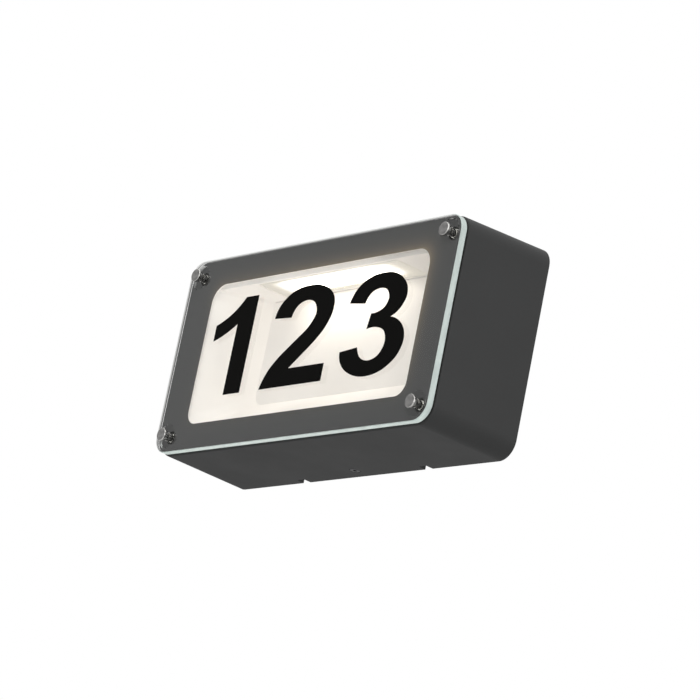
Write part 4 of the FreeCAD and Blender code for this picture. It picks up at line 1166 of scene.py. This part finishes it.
@dataclass
class CapScrews:
    """Four turned screws with flat heads that stand off the glass, each in its bush."""

    head_radius: float = 4.25 * MM
    head_thickness: float = 1.6 * MM
    collar_radius: float = 2.6 * MM
    undercut: float = 0.25 * MM
    shank_radius: float = 2.0 * MM
    core_radius: float = 1.66 * MM
    thread_pitch: float = 0.7 * MM
    row_step: float = 0.116 * MM
    edge: float = 0.35 * MM
    face_depth: float = 0.35 * MM / 8
    bush_radius: float = 2.75 * MM
    bush_bore: float = 2.05 * MM
    bush_wall: float = 0.45 * MM
    bush_flange: float = 0.6 * MM
    bush_stand: float = 0.5 * MM
    steps: int = 48
    body: str = "glass_front"

    def head(self, front: float, seat: float) -> Profile:
        """Outline of a head and the collar under it.

        Args:
            front: depth of the head's face.
            seat: depth of the collar's end.

        Returns:
            Points as (radius, y).
        """
        back = front + self.head_thickness
        neck = self.collar_radius - self.undercut
        corners = [(0.0, front), (self.head_radius, front), (self.head_radius, back), (neck, back),
                   (neck, back + self.undercut), (self.collar_radius, back + 2 * self.undercut),
                   (self.collar_radius, seat), (self.shank_radius, seat),
                   (self.shank_radius, seat + self.edge)]
        return rounded(corners, self.edge)

    def screw(self, front: float, plain: float, tip: float) -> Shape:
        """Head, smooth neck and helical thread of one screw.

        Args:
            front: depth of the head's face.
            plain: depth where the smooth neck ends.
            tip: depth of the shank's end.

        Returns:
            Its corners and its faces.
        """
        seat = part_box("front_glass")[0].y + self.bush_stand - self.edge / 2
        profile = [*self.head(front, seat), (self.shank_radius, plain)]
        smooth_rows = len(profile)
        profile += [(self.shank_radius, plain + row * self.row_step)
                    for row in range(1, int((tip - plain) / self.row_step))]
        profile += [(self.core_radius, tip), (0.0, tip)]
        vertices, faces = turned(profile, self.steps)
        depth = self.shank_radius - self.core_radius
        for index in range(1 + (smooth_rows - 1) * self.steps, 1 + (len(profile) - 3) * self.steps):
            spot = vertices[index]
            turn = spot.y / self.thread_pitch - math.atan2(spot.z, spot.x) / FULL_TURN
            fall = 1.0 - abs(2.0 * (turn % 1.0) - 1.0)
            keep = (self.shank_radius - depth * fall) / self.shank_radius
            spot.x *= keep
            spot.z *= keep
        return vertices, faces

    def bush(self) -> Shape:
        """Bush that centres a screw in the glass and carries the glass on the housing.

        Returns:
            Its corners and its faces.
        """
        low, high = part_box("screw_spacers")
        front, back = (corner.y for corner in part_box("front_glass"))
        outer = high.x - (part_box("cap_screws")[1].x - PACKED_HEAD_RADIUS)
        nose = front + self.bush_stand
        sleeve = self.bush_bore + self.bush_wall
        ring = [(self.bush_bore, nose), (self.bush_radius, nose),
                (self.bush_radius, nose + self.bush_flange), (sleeve, nose + self.bush_flange),
                (sleeve, back - self.bush_flange), (self.bush_radius, back - self.bush_flange),
                (self.bush_radius, low.y), (outer, low.y), (outer, high.y),
                (self.bush_bore, high.y)]
        vertices, faces = [], []
        for row, (radius, y) in enumerate(ring):
            vertices += circle(radius, y, self.steps)
            faces += band(row * self.steps, (row + 1) % len(ring) * self.steps, self.steps)
        return vertices, faces

    def build(self) -> list[bpy.types.Object]:
        """Turn the four screws and their bushes.

        Returns:
            The pieces.
        """
        pieces = []
        low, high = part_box("cap_screws")
        polished = TurnedSteel("polished_stainless_steel", (0.72, 0.71, 0.69), pitch=0.16 * MM,
                               roughness=(0.10, 0.20)).make()
        # Head faces: a darker copy of the same steel, painted shade for the darker surroundings they
        # reflect.
        satin = TurnedSteel("satin_stainless_steel_painted_darker", (0.195, 0.192, 0.188), pitch=0.42 * MM,
                            roughness=(0.26, 0.42), mottle=0.35).make()
        screw = self.screw(low.y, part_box("front_glass")[1].y, high.y)
        bush = self.bush()
        for number, (x, z) in enumerate(screw_places(), start=1):
            for name, node, shape in (("cap_screw", "cap_screws", screw),
                                      ("bush", "screw_spacers", bush)):
                piece = make_piece(f"{name}_{number}", shape, [polished, satin])
                piece.location = (x, 0.0, z)
                # The flat face of each head takes the darker copy of the steel, which is painted
                # shade.
                for face in piece.data.polygons:
                    if node == "cap_screws" and face.center.y < low.y + self.face_depth:
                        face.material_index = 1
                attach(piece, self.body)
                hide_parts(node)
                pieces.append(piece)
        return pieces


@dataclass
class LampHousing:
    """Coated casting with its gasket, inserts and locking screw."""

    lock_head_radius: float = 3.3 * MM
    lock_head_thickness: float = 2.2 * MM
    lock_shank_radius: float = 1.95 * MM
    lock_socket: float = 1.25 * MM
    lock_socket_depth: float = 1.3 * MM
    lock_socket_mouth: float = 1.2
    lock_edge: float = 0.3 * MM
    lock_flats: int = 6
    lock_steps: int = 48

    def locking_screw(self) -> bpy.types.Object:
        """Black screw with a hexagon socket, head down in the bottom wall.

        Returns:
            The screw.
        """
        low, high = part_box("locking_screw")
        seat = self.lock_head_thickness
        length = high.z - low.z
        profile = [(0.0, self.lock_socket_depth), (self.lock_socket, self.lock_socket_depth),
                   (self.lock_socket, 0.0)]
        outside = [(self.lock_socket * self.lock_socket_mouth, 0.0), (self.lock_head_radius, 0.0),
                   (self.lock_head_radius, seat), (self.lock_shank_radius, seat),
                   (self.lock_shank_radius, length), (0.0, length)]
        profile += rounded(outside, self.lock_edge)
        vertices, faces = turned(profile, self.lock_steps)
        flat = FULL_TURN / self.lock_flats
        for index in range(1, 1 + 2 * self.lock_steps):
            spot = vertices[index]
            turn = math.atan2(spot.z, spot.x) % flat - flat / 2
            spot.x /= math.cos(turn)
            spot.z /= math.cos(turn)
        black = TurnedSteel("blackened_steel", (0.055, 0.055, 0.058), pitch=0.3 * MM,
                            roughness=(0.30, 0.42)).make()
        screw = make_piece("socket_locking_screw", (vertices, faces), [black])
        screw.rotation_euler = (math.pi / 2, 0.0, 0.0)
        screw.location = ((low.x + high.x) / 2, (low.y + high.y) / 2, low.z)
        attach(screw, "lock_screw")
        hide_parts("locking_screw")
        return screw

    def build(self) -> list[bpy.types.Object]:
        """Dress the casting and what is fixed in it.

        Returns:
            The pieces.
        """
        foam = Moulding("black_foam_rubber", (0.022, 0.026, 0.025), roughness=0.85,
                        grain=0.25 * MM, depth=0.03 * MM, gloss=0.2)
        brass = SheetMetal("turned_brass", (0.66, 0.47, 0.20), (0.50, 0.33, 0.12),
                           crystal=0.8 * MM, roughness=(0.34, 0.22))
        zinc = SheetMetal("zinc_plate", (0.62, 0.63, 0.65), (0.42, 0.43, 0.45), crystal=2.4 * MM)
        rubber = Moulding("black_grommet_rubber", (0.020, 0.020, 0.020), roughness=0.7,
                          grain=0.8 * MM, depth=0.01 * MM, gloss=0.3)
        return [*dress(PowderCoat().make(), "housing"), *dress(foam.make(), "glass_gasket"),
                *dress(brass.make(), "threaded_inserts"),
                *dress(zinc.make(), "lock_nut", "tray_screws", "carrier_screws", "gear_screws",
                       "terminal_screws", "earth_screw", "wall_plate"),
                self.locking_screw(), *dress(rubber.make(), "cable_grommet")]


@dataclass
class LightTray:
    """White tray and the lamp in its ceiling.

    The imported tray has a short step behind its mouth, from its foot up to the ceiling. The step is
    moved on to the line of the sloped wall.
    """

    chips: int = 14
    mouth_half_width: float = 108.0 * MM
    step_depth: float = 2.3 * MM
    step_foot: float = -1.0 * MM
    ramp: float = 23.3 / 32.1
    merge: float = 0.002 * MM

    def tray(self, finish: bpy.types.Material) -> bpy.types.Object:
        """Tray in the shape of its node, with side walls that run in straight from the mouth.

        Args:
            finish: its material.

        Returns:
            The tray.
        """
        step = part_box("reflector_tray")[0].y + self.step_depth
        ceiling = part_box("lamp_cover")[0].z
        inner = self.mouth_half_width - self.step_depth * self.ramp
        mesh = bmesh.new()
        mesh.from_mesh(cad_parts["reflector_tray"].data)
        for corner in mesh.verts:
            spot = corner.co
            across = inner < abs(spot.x) < self.mouth_half_width + self.merge
            if across and abs(spot.y - step) < self.merge and self.step_foot < spot.z < ceiling:
                spot.x = math.copysign(inner, spot.x)
        bmesh.ops.remove_doubles(mesh, verts=mesh.verts, dist=self.merge)
        bmesh.ops.dissolve_degenerate(mesh, edges=mesh.edges, dist=self.merge)
        mesh.verts.index_update()
        shape = ([corner.co.copy() for corner in mesh.verts],
                 [tuple(corner.index for corner in face.verts) for face in mesh.faces])
        mesh.free()
        tray = make_piece("white_tray", shape, [finish])
        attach(tray, "lamp_housing")
        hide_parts("reflector_tray")
        return tray

    def build(self) -> list[bpy.types.Object]:
        """Dress the tray, the cover, the light board and its carrier.

        Returns:
            The pieces.
        """
        board_low, board_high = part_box("led_board")
        low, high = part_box("lamp_cover")
        middle = (low.y + high.y) / 2
        half_width = (high.y - low.y) / 2
        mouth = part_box("reflector_tray")[0].y
        white = LitReflector(middle, half_width, low.z, mouth, high.y)
        opal = LampGlow(middle, half_width, (board_high.x - board_low.x) / self.chips, high.x)
        board = CircuitBoard("white_light_board", (0.80, 0.80, 0.78), (0.62, 0.62, 0.58),
                             pitch=3.0 * MM)
        phosphor = Moulding("yellow_phosphor", (0.80, 0.62, 0.12), roughness=0.2, grain=0.4 * MM)
        metal = SheetMetal("mill_aluminium", (0.70, 0.71, 0.72), (0.55, 0.56, 0.57),
                           crystal=1.6 * MM)
        return [self.tray(white.make()), *dress(opal.make(), "lamp_cover"),
                *dress(board.make(), "led_board"), *dress(phosphor.make(), "led_chips"),
                *dress(metal.make(), "lamp_carrier")]


@dataclass
class Electrics:
    """Driver, terminal block, leads and earth connection."""

    def build(self) -> list[bpy.types.Object]:
        """Dress every electrical piece.

        Returns:
            The pieces.
        """
        shell = Moulding("grey_driver_shell", (0.76, 0.76, 0.74), roughness=0.5, grain=0.7 * MM,
                         depth=0.01 * MM)
        board = CircuitBoard("green_board", (0.03, 0.16, 0.07), (0.07, 0.28, 0.12))
        nylon = Moulding("natural_nylon", (0.78, 0.76, 0.70), roughness=0.4, grain=1.2 * MM)
        brass = SheetMetal("drawn_brass", (0.70, 0.50, 0.22), (0.55, 0.37, 0.14),
                           crystal=0.7 * MM, roughness=(0.32, 0.2))
        copper = SheetMetal("bright_tinned_copper", (0.66, 0.66, 0.66), (0.50, 0.50, 0.50),
                            crystal=0.9 * MM, roughness=(0.28, 0.16))
        pieces = [*dress(shell.make(), "driver_case", "driver_lid"),
                  *dress(board.make(), "driver_board"), *dress(nylon.make(), "terminal_block"),
                  *dress(brass.make(), "terminal_tubes"), *dress(copper.make(), "earth_lug")]
        for lead in Lead:
            node, colour, stripe = lead.value
            pieces += dress(Insulation(f"{node}_insulation", colour, stripe).make(), node)
        return pieces


# ---------------------------------------------------------------------------- studio
@dataclass(frozen=True)
class SoftLamp:
    """Soft square lamp that faces the sign."""

    name: str
    place: Point
    power: float
    size: float = 1.2

    def hang(self) -> None:
        """Hang the lamp."""
        data = bpy.data.lights.new(self.name, "AREA")
        data.size = self.size
        data.energy = self.power
        lamp = bpy.data.objects.new(self.name, data)
        lamp.location = self.place
        lamp.rotation_euler = Vector(self.place).to_track_quat("Z", "Y").to_euler()
        bpy.context.scene.collection.objects.link(lamp)


@dataclass
class Studio:
    """Pale floor, soft lamps, white surroundings and the camera."""

    lamps: tuple[SoftLamp, ...] = (SoftLamp("key", (0.7, -1.6, 1.7), 10.0),
                                   SoftLamp("fill", (2.0, -0.5, 0.0), 8.5))
    aim: Point = (-0.01344, -0.02228, 0.00950)
    azimuth: float = 52.7715
    elevation: float = -16.2716
    roll: float = 11.4955
    distance: float = 2.2514
    lens: float = 185.02
    sensor: float = 36.0
    floor_drop: float = 2.3
    floor_half: float = 60.0
    floor_cloud: float = 0.4
    floor_seen: Range = (0.88, 0.91)
    floor_lit: Range = (0.72, 0.75)
    ambient: float = 0.80

    def camera(self) -> None:
        """Set the camera at the photograph's angle."""
        turn = math.radians(self.azimuth)
        rise = math.radians(self.elevation)
        away = Vector((math.sin(turn) * math.cos(rise), -math.cos(turn) * math.cos(rise),
                       math.sin(rise)))
        data = bpy.data.cameras.new("camera")
        data.lens = self.lens
        data.sensor_width = self.sensor
        camera = bpy.data.objects.new("camera", data)
        bpy.context.scene.collection.objects.link(camera)
        level = away.to_track_quat("Z", "Y").to_matrix().to_4x4()
        tilt = Matrix.Rotation(math.radians(self.roll), 4, "Z")
        place = Matrix.Translation(Vector(self.aim) + away * self.distance)
        camera.matrix_world = place @ level @ tilt
        bpy.context.scene.camera = camera

    def surroundings(self) -> None:
        """White for the camera and in reflections, softer as light on the sign."""
        sheet = NodeSheet("white_studio", of_world=True)
        soft, white = (sheet.shader("ShaderNodeBackground", {"Color": WHITE, "Strength": strength})
                       for strength in (self.ambient, 1.0))
        seen = sheet.ray("Is Camera Ray", "Is Glossy Ray", "Is Transmission Ray")
        bpy.context.scene.world = sheet.cover(sheet.blend(seen, soft, white))

    def floor(self) -> None:
        """Lay the pale floor well below the sign, palest for the camera."""
        sheet = NodeSheet("pale_floor")
        grain = sheet.grain(self.floor_cloud)
        tints = (sheet.shade(grain, WHITE, shares) for shares in (self.floor_lit, self.floor_seen))
        lit, seen = (sheet.shader("ShaderNodeBsdfDiffuse", {"Color": tint}) for tint in tints)
        material = sheet.cover(sheet.blend(sheet.ray("Is Camera Ray"), lit, seen))
        corners = [Vector((x * self.floor_half, y * self.floor_half, -self.floor_drop))
                   for x, y in ((-1, -1), (1, -1), (1, 1), (-1, 1))]
        make_piece("floor", (corners, [(0, 1, 2, 3)]), [material])

    def build(self) -> None:
        """Set the whole studio up."""
        self.surroundings()
        self.floor()
        for lamp in self.lamps:
            lamp.hang()
        self.camera()
        bpy.context.scene.view_settings.view_transform = "Standard"
        log.info("studio: ready")


def main() -> None:
    """Dress the sign and set the studio up."""
    logging.basicConfig(level=logging.INFO, format="%(message)s")
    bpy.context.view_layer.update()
    for part in (GlassFront(), CapScrews(), LampHousing(), LightTray(), Electrics()):
        for piece in part.build():
            finishes = " and ".join(material.name for material in piece.data.materials)
            log.info("%s: %s in %s", type(part).__name__, piece.name, finishes)
    Studio().build()
    bpy.context.view_layer.update()


if __name__ == "__main__":
    main()
